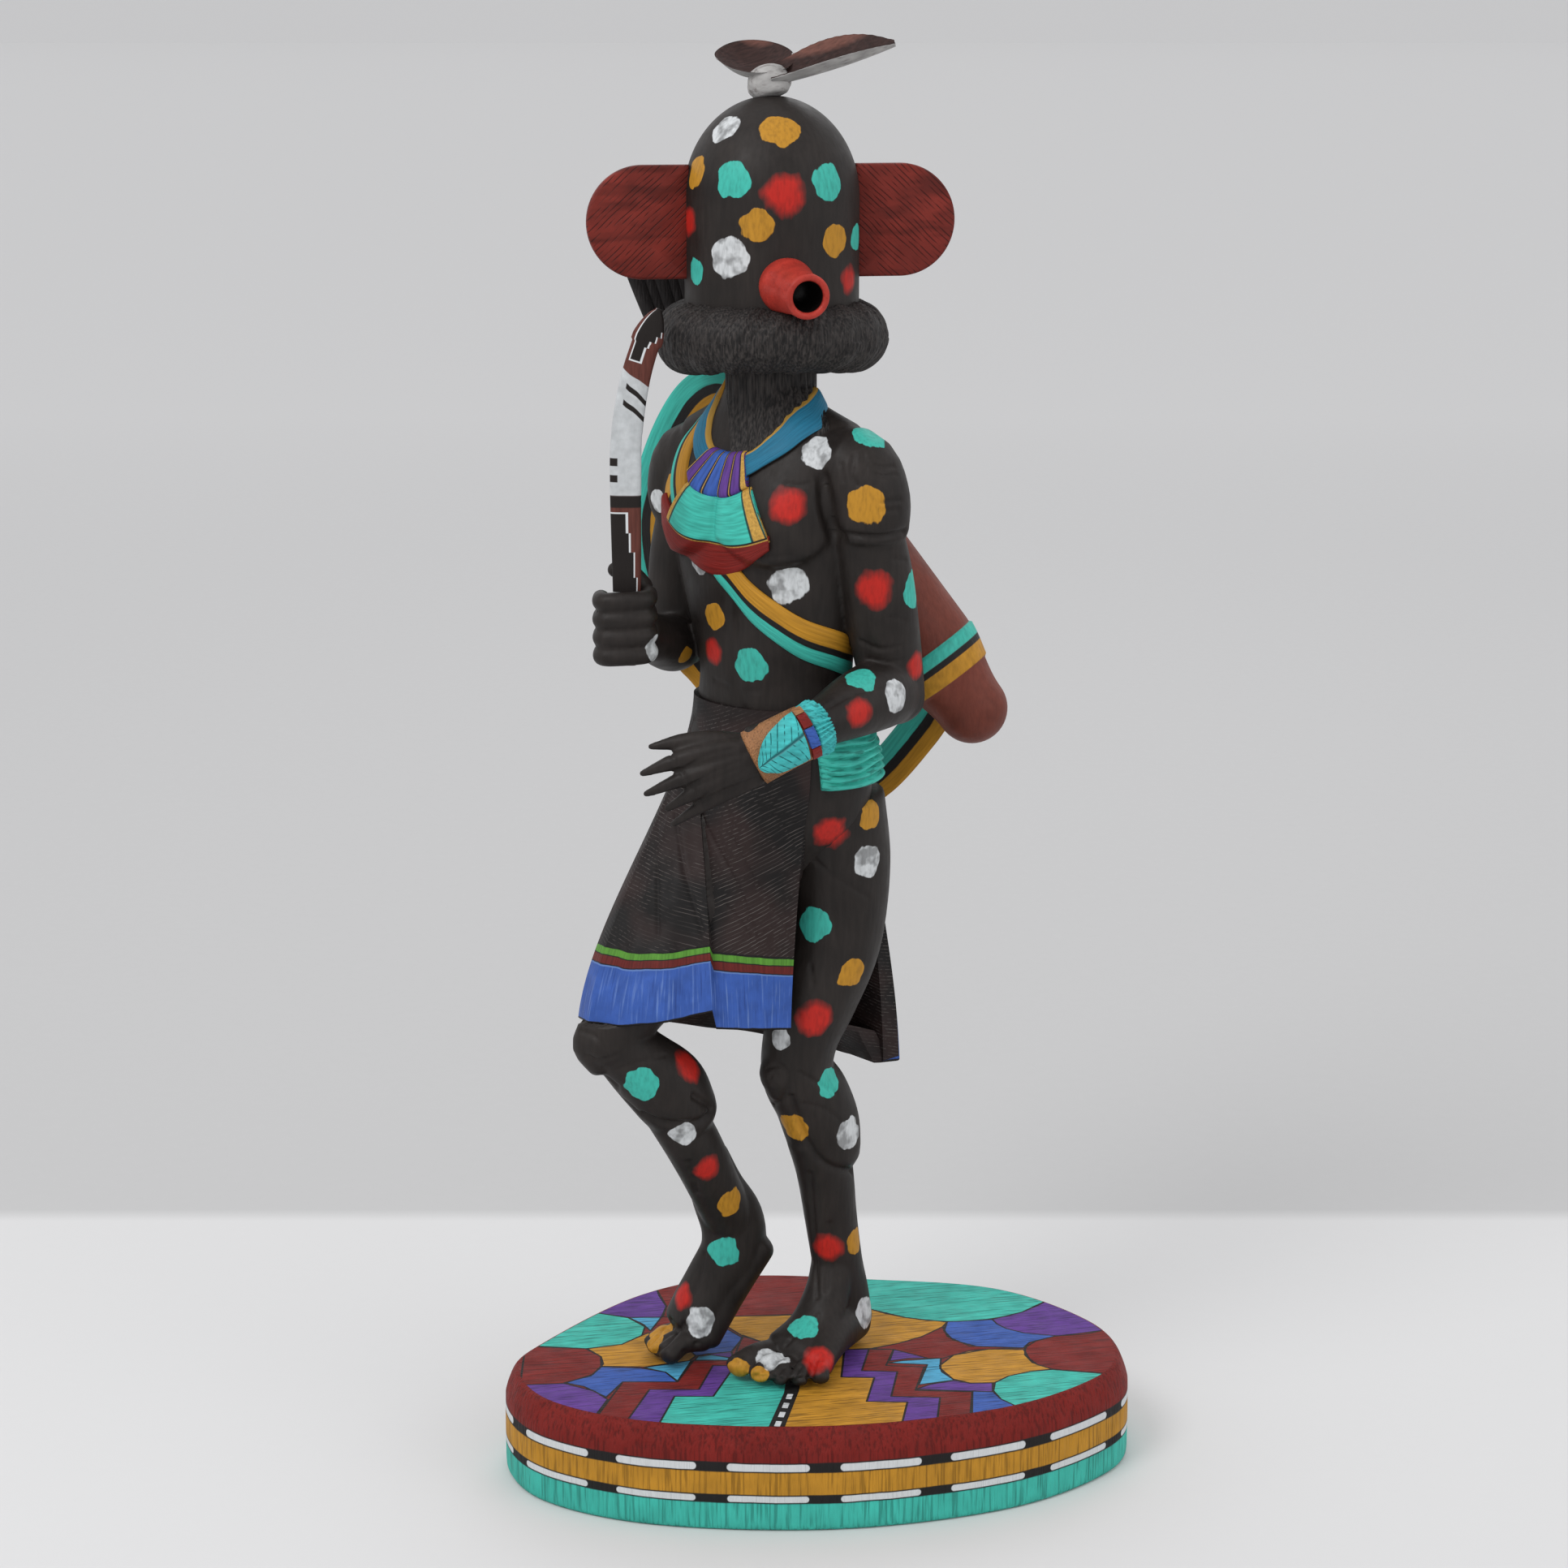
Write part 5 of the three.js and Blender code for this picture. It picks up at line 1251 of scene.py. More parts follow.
# %% Feathers
def feather(root, along, roll, cupping, length, widths, rise_mm, thick=1.8, steps=80, across=40):
    """A cupped feather. roll turns it about its own length, in degrees."""
    forward = unit(np.array(along, float))
    flat = unit(np.cross(up, forward))
    r = math.radians(roll)
    side = flat * math.cos(r) + np.cross(forward, flat) * math.sin(r)
    over = np.cross(forward, side)
    half_widths = smooth_line([[w] for w in widths], steps)[:, 0]
    rings = []
    for i, half in enumerate(half_widths):
        share = i / steps
        centre = root + forward * length * share + over * rise_mm * share ** 2
        depth = thick * (1 - 0.35 * share) / 2
        s = np.linspace(-1, 1, across)
        bow = cupping * abs(s) ** 1.7 * half / 10
        thin = depth * (1 - 0.6 * abs(s) ** 3)
        groove = 0.45 * np.exp(-(s / 0.06) ** 2) * min(1, share * 5)
        barbs = 0.07 * np.sin(share * 90 + abs(s) * 7) * (abs(s) > 0.08)
        upper = centre + np.outer(half * s, side) + np.outer(bow + thin - groove + barbs, over)
        lower = centre + np.outer(half * s[::-1] * 0.985, side) + np.outer((bow - thin)[::-1], over)
        rings.append(np.vstack([upper, lower]))
    side_value = np.concatenate([np.ones(across), -np.ones(across)])
    return skin(rings), np.concatenate([np.tile(side_value, steps + 1), [0, 0]])


def dish(centre, half_wide, half_deep, hollow, tilt, thick=1.3, count=96, steps=24):
    """A round cupped feather: an inner and an outer bowl that meet in a thin rim. tilt lifts its far rim."""
    turn = np.linspace(0, 2 * math.pi, count, endpoint=False)
    t = math.radians(tilt)
    lie, rise_way = np.array([0, math.cos(t), math.sin(t)]), np.array([0, -math.sin(t), math.cos(t)])
    rings, sides = [], []
    for upper in (1, -1):
        shares = np.linspace(0.03, 1, steps) if upper > 0 else np.linspace(0.985, 0.03, steps)
        for r in shares:
            drop = -hollow * (1 - r ** 2.4) + upper * thick * (1 - r ** 3) * 0.5
            vein = 0.35 * np.exp(-(np.sin(turn - 0.25) * r * 14) ** 2) if upper > 0 else 0
            point_out = 1 + 0.06 * np.exp(-((turn - math.pi) / 0.35) ** 2) * r
            x, y = half_wide * r * np.cos(turn) * point_out, half_deep * r * np.sin(turn)
            lift = drop - vein - 0.05 * x
            rings.append(centre + np.outer(x, [1, 0, 0]) + np.outer(y, lie) + np.outer(lift, rise_way))
            sides.append(np.full(count, float(upper)))
    return skin(rings), np.concatenate([*sides, [1.0], [-1.0]])


crown = at(*HEAD, MASK_TOP)
round_one, round_side = dish(crown + [-5.2, 7, 12.6], 13.0, 12.6, 5.6, 24)
long_widths = [5, 6.6, 8.2, 8.8, 8.0, 5.6, 1.4]
long_one, long_side = feather(crown + [0, 0, 4.0], (1, 0.03, 0.22), 20, 7.0, 42.5, long_widths, 3.5)
knob = limb([[*HEAD, MASK_TOP + 0.4, 5.8, 5.4], [HEAD[0] - 0.6, HEAD[1] + 0.6, MASK_TOP + 2.8, 7.4, 6],
             [HEAD[0] - 1.4, HEAD[1] + 2.4, MASK_TOP + 6.2, 6.6, 6.2]], np.array([1.0, 0, 0]), (0.2, 0.5))
crest = make_object("crest_feathers", [round_one, long_one, knob])
store(crest, "upper_side", np.concatenate([round_side, long_side, -np.ones(len(knob[0]))]))
store(crest, "on_long", np.repeat([0.0, 1.0, 0.0], [len(round_side), len(long_side), len(knob[0])]))


def feather_paint():
    """Dark brown inside with a red-brown far half, and a chalky underside that shows the wood."""
    paint = Paint("feather_paint", 0.6)
    barbs = paint.noise(0.8, (0.15, 1, 1), 3, (0, -0.3, 0.4))
    dark = paint.shade((0.030, 0.014, 0.012), barbs, 0.5, 1.7)
    warm = paint.shade((0.14, 0.058, 0.044), barbs, 0.7, 1.3)
    y = paint.axis("Y")
    far_half = paint.times(paint.ramp(y, 0.0040, 0.0050), paint.field("on_long"))
    far_half = paint.most(far_half, paint.ramp(y, 0.0170, 0.0182))
    inside = paint.mix(far_half, dark, warm)
    pale = paint.shade((0.42, 0.41, 0.40), paint.noise(4, (0.5, 1, 1)), 0.5, 1.2)
    pale = paint.mix(paint.ramp(paint.noise(1.5, (0.2, 1, 1)), 0.55, 0.7, 0, 0.6), pale, (0.10, 0.08, 0.075))
    side = paint.plus(paint.field("upper_side"), paint.swing(barbs, 0.6))
    return paint.finish(paint.mix(paint.ramp(side, -0.1, 0.1), pale, inside), barbs, 0.2)


dress(crest, feather_paint(), "crest_feathers")

# %% [markdown]
# The fan is a row of flat ribs. Each one leans a little further out than the rib beside it.

# %% Head fan
FAN_RIBS = 14
solids = []
for i in range(FAN_RIBS):
    share = i / (FAN_RIBS - 1)
    foot_x, top_x = -55 + 43 * share, -66 + 56 * share
    y = 30 + 12 * share + 5 * share * (1 - share) + (0.5 if i % 2 else 0)
    solids.append(limb([
        [foot_x, y, 362, 2.3, 1.7], [(foot_x + top_x) / 2, y, 376, 2.6, 1.8], [top_x, y - 1, 391, 2.8, 1.4],
    ], head_left, (0.2, 0.2), 20))
head_fan = make_object("head_fan", solids)
fan_paint = stroked_paint("fan_paint", (0.016, 0.014, 0.014), (1, 1, 0.1), 0.8, 2.5, 0.5)
dress(head_fan, fan_paint, "head_fan")

# %% [markdown]
# ## Throwing stick
# A flat bent stick, painted in bands: dark ends with a stepped figure outlined in white and a pale middle
# with paired bars. The paint is laid out by the height along the stick.

# %% Stick
stick_line = [[-65.5, 258], [-64.6, 284], [-64.6, 318], [-64, 336], [-61, 354], [-56.6, 368], [-53, 377]]
STICK_Y, STICK_STEPS = -25, 120
row = smooth_line(stick_line, STICK_STEPS)
rings, widths = [], []
turn = np.linspace(0, 2 * math.pi, 40, endpoint=False)
for i, (x, h) in enumerate(row):
    share = i / STICK_STEPS
    a, b = row[max(0, i - 1)], row[min(STICK_STEPS, i + 1)]
    along = unit(np.array([b[0] - a[0], 0, b[1] - a[1]]))
    across = np.cross(along, [0, 1, 0])
    swell = 0.72 + 0.28 * math.sin(math.pi * min(1, share * 1.3))
    end = math.sqrt(max(0.04, min(1, (1 - share) * 6)))
    wide = 5.25 * (end if share > 0.8 else swell + ((1 - swell) * 0.6 if share > 0.5 else 0))
    squash = np.sign(np.cos(turn)) * abs(np.cos(turn)) ** 0.75, np.sign(np.sin(turn)) * abs(np.sin(turn)) ** 0.6
    rings.append(at(x, STICK_Y, h) + np.outer(squash[0] * wide, across) + np.outer(squash[1] * 2.1, [0, 1, 0]))
    widths.append(wide)
stick = make_object("throwing_stick", [skin(rings)])
walk = walked(row)
store_rings(stick, "along", np.repeat(walk, 40), (0, walk[-1]))
store_rings(stick, "across", np.tile(np.cos(turn), len(row)))


def stick_paint():
    """Paints by millimetres along the stick and by its share across."""
    paint = Paint("stick_paint", 0.6)
    along, across = paint.field("along"), paint.field("across")
    grain = paint.noise(0.8, (1, 1, 0.1), 3)

    def band(low, high, soft=0.25):
        return paint.times(paint.ramp(along, low - soft, low + soft), paint.ramp(along, high + soft, high - soft))

    colour = paint.shade((0.10, 0.03, 0.022), grain, 0.7, 1.3)
    pale = paint.shade((0.50, 0.52, 0.53), paint.noise(3), 0.75, 1.1)
    ink = (0.012, 0.009, 0.008)
    right = paint.times(across, -1)
    slanted = paint.plus(along, paint.times(right, 2.2))
    top_zone = paint.ramp(slanted, 96.8, 97.0)
    colour = paint.mix(paint.times(band(57.5, 130), paint.minus(1, top_zone)), colour, pale)
    colour = paint.mix(band(53.5, 57.5), colour, ink)
    for low, high in ((62, 64.4), (67.4, 70)):
        bar = paint.times(band(low, high, 0.1), paint.ramp(right, -0.36, -0.42))
        colour = paint.mix(bar, colour, ink)
    leaning = paint.plus(along, paint.times(right, 3.6))
    for low in (86.2, 91.6):
        line = paint.times(paint.ramp(leaning, low - 0.1, low + 0.1), paint.ramp(leaning, low + 1.9, low + 1.7))
        line = paint.times(line, paint.ramp(right, -0.42, -0.36))
        colour = paint.mix(line, colour, ink)

    def stepped(tone, low, high, outer_edge, stairs):
        """A black stepped figure with a thin white outline. stairs = [(height where it begins, right edge)]."""
        edge = (stairs[0][1],) * 3
        for height, place in stairs[1:]:
            gate = paint.ramp(along, height - 0.01, height + 0.01)
            edge = paint.mix(gate, edge, (place,) * 3)
        gap = paint.minus(right, edge)
        left_gap = paint.minus(outer_edge, right)
        off = paint.most(gap, left_gap)
        off = paint.most(off, paint.times(paint.minus(low, along), 0.2))
        off = paint.most(off, paint.times(paint.minus(along, high), 0.2))
        tone = paint.mix(paint.ramp(off, 0.11, 0.09), tone, PAINTS["white"])
        return paint.mix(paint.ramp(off, 0.01, -0.01), tone, ink)

    colour = stepped(colour, 25, 51.5, -1.3, [(0, 0.62), (30, 0.40), (38.5, 0.12), (45, -0.28)])
    tip_stairs = [(0, -0.40), (105, -0.12), (107.5, 0.12), (109.8, 0.42), (112, 0.75), (114, 1.5)]
    colour = stepped(colour, 102.5, 130, -0.62, tip_stairs)
    return paint.finish(colour, grain, 0.12)


dress(stick, stick_paint(), "throwing_stick")

# %% [markdown]
# ## Back bundle and carrying strap
# The bundle is a smooth bolster with a striped band near each end. The strap is a striped ribbon that runs
# from the right shoulder behind the back to the bundle's lower end.

# %% Bundle
bundle_low, bundle_high = at(54.5, 24, 232.5), at(-21, 40, 333)
BUNDLE_RADIUS, BUNDLE_END = 17.4, 12.6
axis = unit(bundle_high - bundle_low)
length = np.linalg.norm(bundle_high - bundle_low)
side = unit(left - axis * (left @ axis))
profile = []
for a in np.linspace(-math.pi / 2 + 0.03, 0, 14)[:-1]:
    profile.append([BUNDLE_END * math.cos(a), BUNDLE_END * math.sin(a)])
for share in np.linspace(0, 1, 150):
    nearest = min(1, min(share, 1 - share) / 0.22)
    full = nearest ** 2 * (3 - 2 * nearest)
    band = 0.9 if 0.1 < min(share, 1 - share) < 0.2 else 0
    profile.append([BUNDLE_END + (BUNDLE_RADIUS - BUNDLE_END) * full + band, share * length])
for a in np.linspace(0, math.pi / 2 - 0.03, 14)[1:]:
    profile.append([BUNDLE_END * math.cos(a), length + BUNDLE_END * math.sin(a)])
bundle = make_object("back_bundle", [turned(profile, bundle_low, axis, side, 90)])
store_rings(bundle, "along", np.repeat([p[1] for p in profile], 90), (-13, length + 13))


def bundle_paint():
    """Red-brown wood with a striped band near each end."""
    paint = Paint("bundle_paint", 0.5)
    along = paint.field("along")
    grain = paint.noise(1.5, (1, 1, 0.4), 3)
    colour = paint.shade(paint.shade(PAINTS["bundle"], paint.noise(18), 0.7, 1.3), grain, 0.8, 1.15)
    for middle, flip in ((0.15 * length, 1), (0.85 * length, -1)):
        offset = paint.times(paint.minus(along, middle), flip)
        for low, high, tone in ((-6.4, -0.6, "ochre"), (-0.6, 1.6, "black"), (1.6, 6.4, "turquoise")):
            share = paint.times(paint.ramp(offset, low - 0.15, low + 0.15),
                                paint.ramp(offset, high + 0.15, high - 0.15))
            colour = paint.mix(share, colour, paint.shade(PAINTS[tone], grain, 0.7, 1.2))
    return paint.finish(colour, grain, 0.15)


dress(bundle, bundle_paint(), "back_bundle")

# %% [markdown]
# The ribbon follows a listed route. Halfway down the back it turns over, as a real strap does.

# %% Strap
strap_route = [
    [-27, 17, 344], [-35, 24, 346], [-43, 31, 341], [-50, 37, 330], [-56, 42, 315], [-61, 48, 297], [-60, 55, 277],
    [-54, 59, 259], [-40, 62, 238], [-14, 63, 208],
    [8, 58, 193], [22, 50, 201], [36, 39, 220], [43, 31, 233],
]
line = smooth_line(strap_route, 200) + [0, 0, SOLE_LEVEL]
along = unit(np.gradient(line, axis=0))
facing = np.array([0.35, 0.94, 0.0])
facing = unit(facing - along * (along @ facing)[:, None])
wide = np.cross(along, facing)
run = walked(line)
TWIST_START, TWIST_LENGTH, STRAP_HALF = 112, 28, 7.5
turn_over = math.pi * (1 - ease((run - TWIST_START) / TWIST_LENGTH))[:, None]
wide, facing = (wide * np.cos(turn_over) + facing * np.sin(turn_over),
                facing * np.cos(turn_over) - wide * np.sin(turn_over))
s = np.linspace(-1, 1, 14)
rings = []
for i in range(len(line)):
    upper = line[i] + np.outer(s * STRAP_HALF, wide[i]) + np.outer(1 - 0.5 * abs(s) ** 6, facing[i])
    lower = line[i] + np.outer(s[::-1] * STRAP_HALF, wide[i]) - np.outer(1 - 0.5 * abs(s) ** 6, facing[i])
    rings.append(np.vstack([upper, lower]))
keep = [i for i in range(len(line)) if np.linalg.norm(line[i] - bundle_low) > 8]
strap = make_object("carrying_strap", [skin([rings[i] for i in keep])])
walk = walked(line[keep])
store_rings(strap, "across", np.tile(np.concatenate([s, s[::-1]]), len(keep)))
store_rings(strap, "along", np.repeat(walk, 28), (0, walk[-1]))
strap_stripes = [(-0.3, "ochre"), (0.15, "black"), (1.2, "turquoise")]
dress(strap, striped_paint("strap_paint", strap_stripes), "carrying_strap")

# %% [markdown]
# ## Wrist guard
# A soft turquoise ring, a row of beads and a leaf-shaped stone on a copper plate sit on the left wrist.

# %% Wrist guard
guard_side = unit(np.array([0.417, 0, -0.909]))


def wrap(stops, rise, thick, rows=60, across=48):
    """A curved sheet on the wrist. Each stop is [u, v, depth, half width, half depth, first angle, last angle]."""
    row = smooth_line([[*seen(*stop[:3]), *stop[3:]] for stop in stops], rows)
    line = row[:, :3] + [0, 0, SOLE_LEVEL]
    along = unit(np.gradient(line, axis=0))
    wide = unit(guard_side - along * (along @ guard_side)[:, None])
    deep = np.cross(along, wide)
    deep *= -np.sign(deep[:, 1:2])
    rings = []
    for i in range(len(line)):
        angle = np.radians(np.linspace(row[i, 5], row[i, 6], across))

        def arc_at(out):
            return (line[i] + np.outer(np.sin(angle) * (row[i, 3] + out), wide[i])
                    + np.outer(np.cos(angle) * (row[i, 4] + out), deep[i]))
        rings.append(np.vstack([arc_at(rise), arc_at(rise - thick)[::-1]]))
    ends = row[:, 5:7]
    side = np.linspace(-1, 1, across)
    values = np.concatenate([np.tile(np.concatenate([side, side[::-1]]), len(row)), [0, 0]])
    return skin(rings), values, np.concatenate([np.repeat(np.linspace(0, 1, len(row)), across * 2), [0, 1]])


def guard_piece(name, stops, rise, thick, material):
    """One sheet of the wrist guard, with its paint."""
    solid, side, along = wrap(stops, rise, thick)
    piece = make_object(name, [solid])
    piece.data.set_sharp_from_angle(angle=math.radians(50))
    store(piece, "across", side)
    store(piece, "along", along)
    dress(piece, material)


def stone_paint():
    """A turquoise leaf with a carved midrib and side veins."""
    paint = Paint("stone_paint", 0.35)
    across, along = paint.field("across"), paint.field("along")
    side = paint.maths("ABSOLUTE", across)
    rib = paint.ramp(side, 0.02, 0.09, 1, 0)
    veins = paint.maths("PINGPONG", paint.minus(paint.times(along, 2.6), paint.times(side, 0.55)), 0.16)
    cut = paint.times(paint.ramp(veins, 0.03, 0.0), paint.ramp(paint.noise(2.5), 0.4, 0.55))
    cut = paint.most(cut, rib)
    tone = paint.shade((0.05, 0.42, 0.42), paint.noise(1.6, (0.3, 1, 1)), 0.6, 1.35)
    return paint.finish(paint.mix(cut, tone, (0.012, 0.11, 0.12)), cut, -0.4)


copper = stroked_paint("plate_paint", PAINTS["copper"], (1, 0.1, 1), 0.5, 0.35, 0.6, 0.4, (0, 0.43, 0))
sleeve = limb([
    [*seen(929, 934, -60.5), 9.6, 6], [*seen(950, 923, -59.8), 9.4, 6.4], [*seen(970, 912.5, -58.5), 9.3, 7.2],
    [*seen(992, 902, -56.2), 9.2, 8.4],
], guard_side, (0.15, 0.15), 60, 1)
dress(make_object("wrist_plate", [sleeve]), copper)
guard_piece("wrist_stone", [
    (930, 933.5, -60.5, 9.6, 6, 12, 15), (935, 931, -60.4, 9.6, 6.1, -8, 30), (942, 927, -60.1, 9.5, 6.2, -22, 40),
    (952, 922, -59.7, 9.4, 6.5, -36, 48), (963, 916, -59, 9.3, 6.9, -46, 51), (974, 910.5, -58.1, 9.3, 7.4, -56, 51),
    (982, 907, -57.3, 9.2, 7.8, -62, 48),
], 1.1, 1.9, stone_paint())
beads = [("pale", -64, -46, "copper"), ("red", -44, -16, "maroon"), ("blue", -14, 24, "blue"),
         ("low_red", 26, 52, "maroon")]
for name, first, last, tone in beads:
    stops = [(983, 906.5, -57.2, 9.2, 8, first, last), (993, 901.5, -56, 9.2, 8.5, first, last)]
    guard_piece("wrist_bead_" + name, stops, 1.5, 2.2,
                stroked_paint("bead_" + name, PAINTS[tone], (0.3, 1, 1), 0.8, 0.5, 0.5, 0.3))
frill = limb([
    [*seen(993, 902.5, -55.8), 9.0, 8.9], [*seen(1000, 899, -54.6), 9.1, 9.0], [*seen(1007, 895.5, -53.2), 9.6, 9.3],
], guard_side, (0.12, 0.12), 240, 0.4)
guard_ring = make_object("wrist_ring", [frill])
points, normals = points_of(guard_ring), points_of(guard_ring, "normal")
middle = (np.array(seen(1001, 898, -54.4)) + [0, 0, SOLE_LEVEL]) * MM
angle = np.arctan2((points - middle) @ guard_side, -(points - middle)[:, 1])
flare = ease(((points - middle)[:, 0] / MM + 2) / 5)
frills = (0.15 + 0.35 * flare) * np.sin(angle * 30 + 1.5 * np.sin(angle * 7))
move_points(guard_ring, points + normals * (frills * MM)[:, None])
dress(guard_ring, stroked_paint("ring_paint", (0.05, 0.42, 0.42), (0.15, 1, 1), 0.8, 0.25, 0.6, 0.5, (0, 0.4, 0)))

# %% [markdown]
# ## Painted base
# The top is a flat board with burned outlines and flat fields of colour. Its outlines are laid into one
# flat mesh, so every field has a true edge. The side carries five bands with white dashes on black.

# %% Base outline and side
BASE_LENGTH, BASE_WIDTH, BASE_THICK = 227, 147, 37
base_shares = [
    [-0.99, -0.26], [-0.92, 0.08], [-0.62, 0.72], [-0.27, 1.0], [0.2, 0.96], [0.64, 0.81], [0.93, 0.37],
    [1.0, -0.06], [0.9, -0.4], [0.58, -0.76], [0.06, -0.97], [-0.5, -0.92], [-0.86, -0.66],
]
loop = np.array(base_shares) * [BASE_LENGTH / 2, BASE_WIDTH / 2]
wrapped = np.vstack([loop[-2:], loop, loop[:3]])
fine = smooth_line(wrapped, 4000)
fine = fine[int(4000 * 2 / (len(wrapped) - 1)):int(4000 * (len(loop) + 2) / (len(wrapped) - 1))]
walk = walked(fine)
PLAN_COUNT = 420
even = np.linspace(0, walk[-1], PLAN_COUNT, endpoint=False)
plan = np.stack([np.interp(even, walk, fine[:, 0]), np.interp(even, walk, fine[:, 1])], 1)


def plan_ring(z, inset):
    """The base's outline at height z, moved in by inset."""
    reach = np.linalg.norm(plan, axis=1, keepdims=True)
    return np.column_stack([plan * (reach - inset) / reach, np.full(len(plan), z)])


side_profile = [[0, 2.4], [0.5, 1.3], [1.4, 0.75], [2.6, 0.66]]
side_profile += [[z, 0.62 + 0.1 * ((z - 12) / 10) ** 2 * (z > 12)] for z in range(4, 30, 2)]
side_profile += [[30, 1.4], [32, 2.1], [34, 2.9], [35.2, 3.5], [36.1, 4.1], [36.7, 4.7], [37, 5.6]]
base_side = make_object("base_side", [skin([plan_ring(z, inset) for z, inset in side_profile])])
perimeter, DASHES = walk[-1], 15
store_rings(base_side, "along", np.tile(even, len(side_profile)))


def side_paint():
    """Five bands round the side, with white dashes on the two black ones."""
    paint = Paint("base_side_paint", 0.62)
    height = paint.maths("DIVIDE", paint.axis("Z"), MM)
    strokes = paint.noise(0.9, (1, 1, 0.04), 3)
    wash = paint.noise(12)
    level = paint.plus(height, paint.swing(paint.noise(18), 0.8))

    def burned(tone):
        mixed = paint.shade(PAINTS[tone], wash, 0.8, 1.2)
        return paint.mix(paint.ramp(strokes, 0.5, 0.64, 0, 0.6), mixed, tuple(c * 0.3 for c in PAINTS[tone]))

    colour = burned("maroon")
    pitch = perimeter / DASHES
    phase = paint.maths("PINGPONG", paint.maths("DIVIDE", paint.field("along"), pitch), 0.5)
    for top, bottom, below in ((25.5, 21.8, "ochre"), (13.7, 10.4, "turquoise")):
        colour = paint.mix(paint.ramp(level, top + 0.2, top - 0.2), colour, PAINTS["black"])
        middle = (top + bottom) / 2
        off = paint.maths("ABSOLUTE", paint.minus(level, middle))
        run = paint.times(paint.most(paint.minus(phase, 0.33), 0.0), pitch)
        reach = paint.maths("SQRT", paint.plus(paint.times(off, off), paint.times(run, run)))
        half = (top - bottom) / 2
        dash = paint.ramp(reach, half - 0.35, half - 0.65)
        colour = paint.mix(dash, colour, PAINTS["white"])
        colour = paint.mix(paint.ramp(level, bottom + 0.2, bottom - 0.2), colour, burned(below))
    return paint.finish(colour, paint.ramp(strokes, 0.35, 0.65, 1, 0), 0.3)


dress(base_side, side_paint(), "base")

# %% [markdown]
# Each field is its colour and the corners of its outline, in millimetres from the middle.

# %% Painted fields of the base's top
def arc(cx, cy, radius, start, end, count=14):
    """Points on an arc, in degrees."""
    turn = np.radians(np.linspace(start, end, count))
    return [(cx + radius * math.cos(a), cy + radius * math.sin(a)) for a in turn]


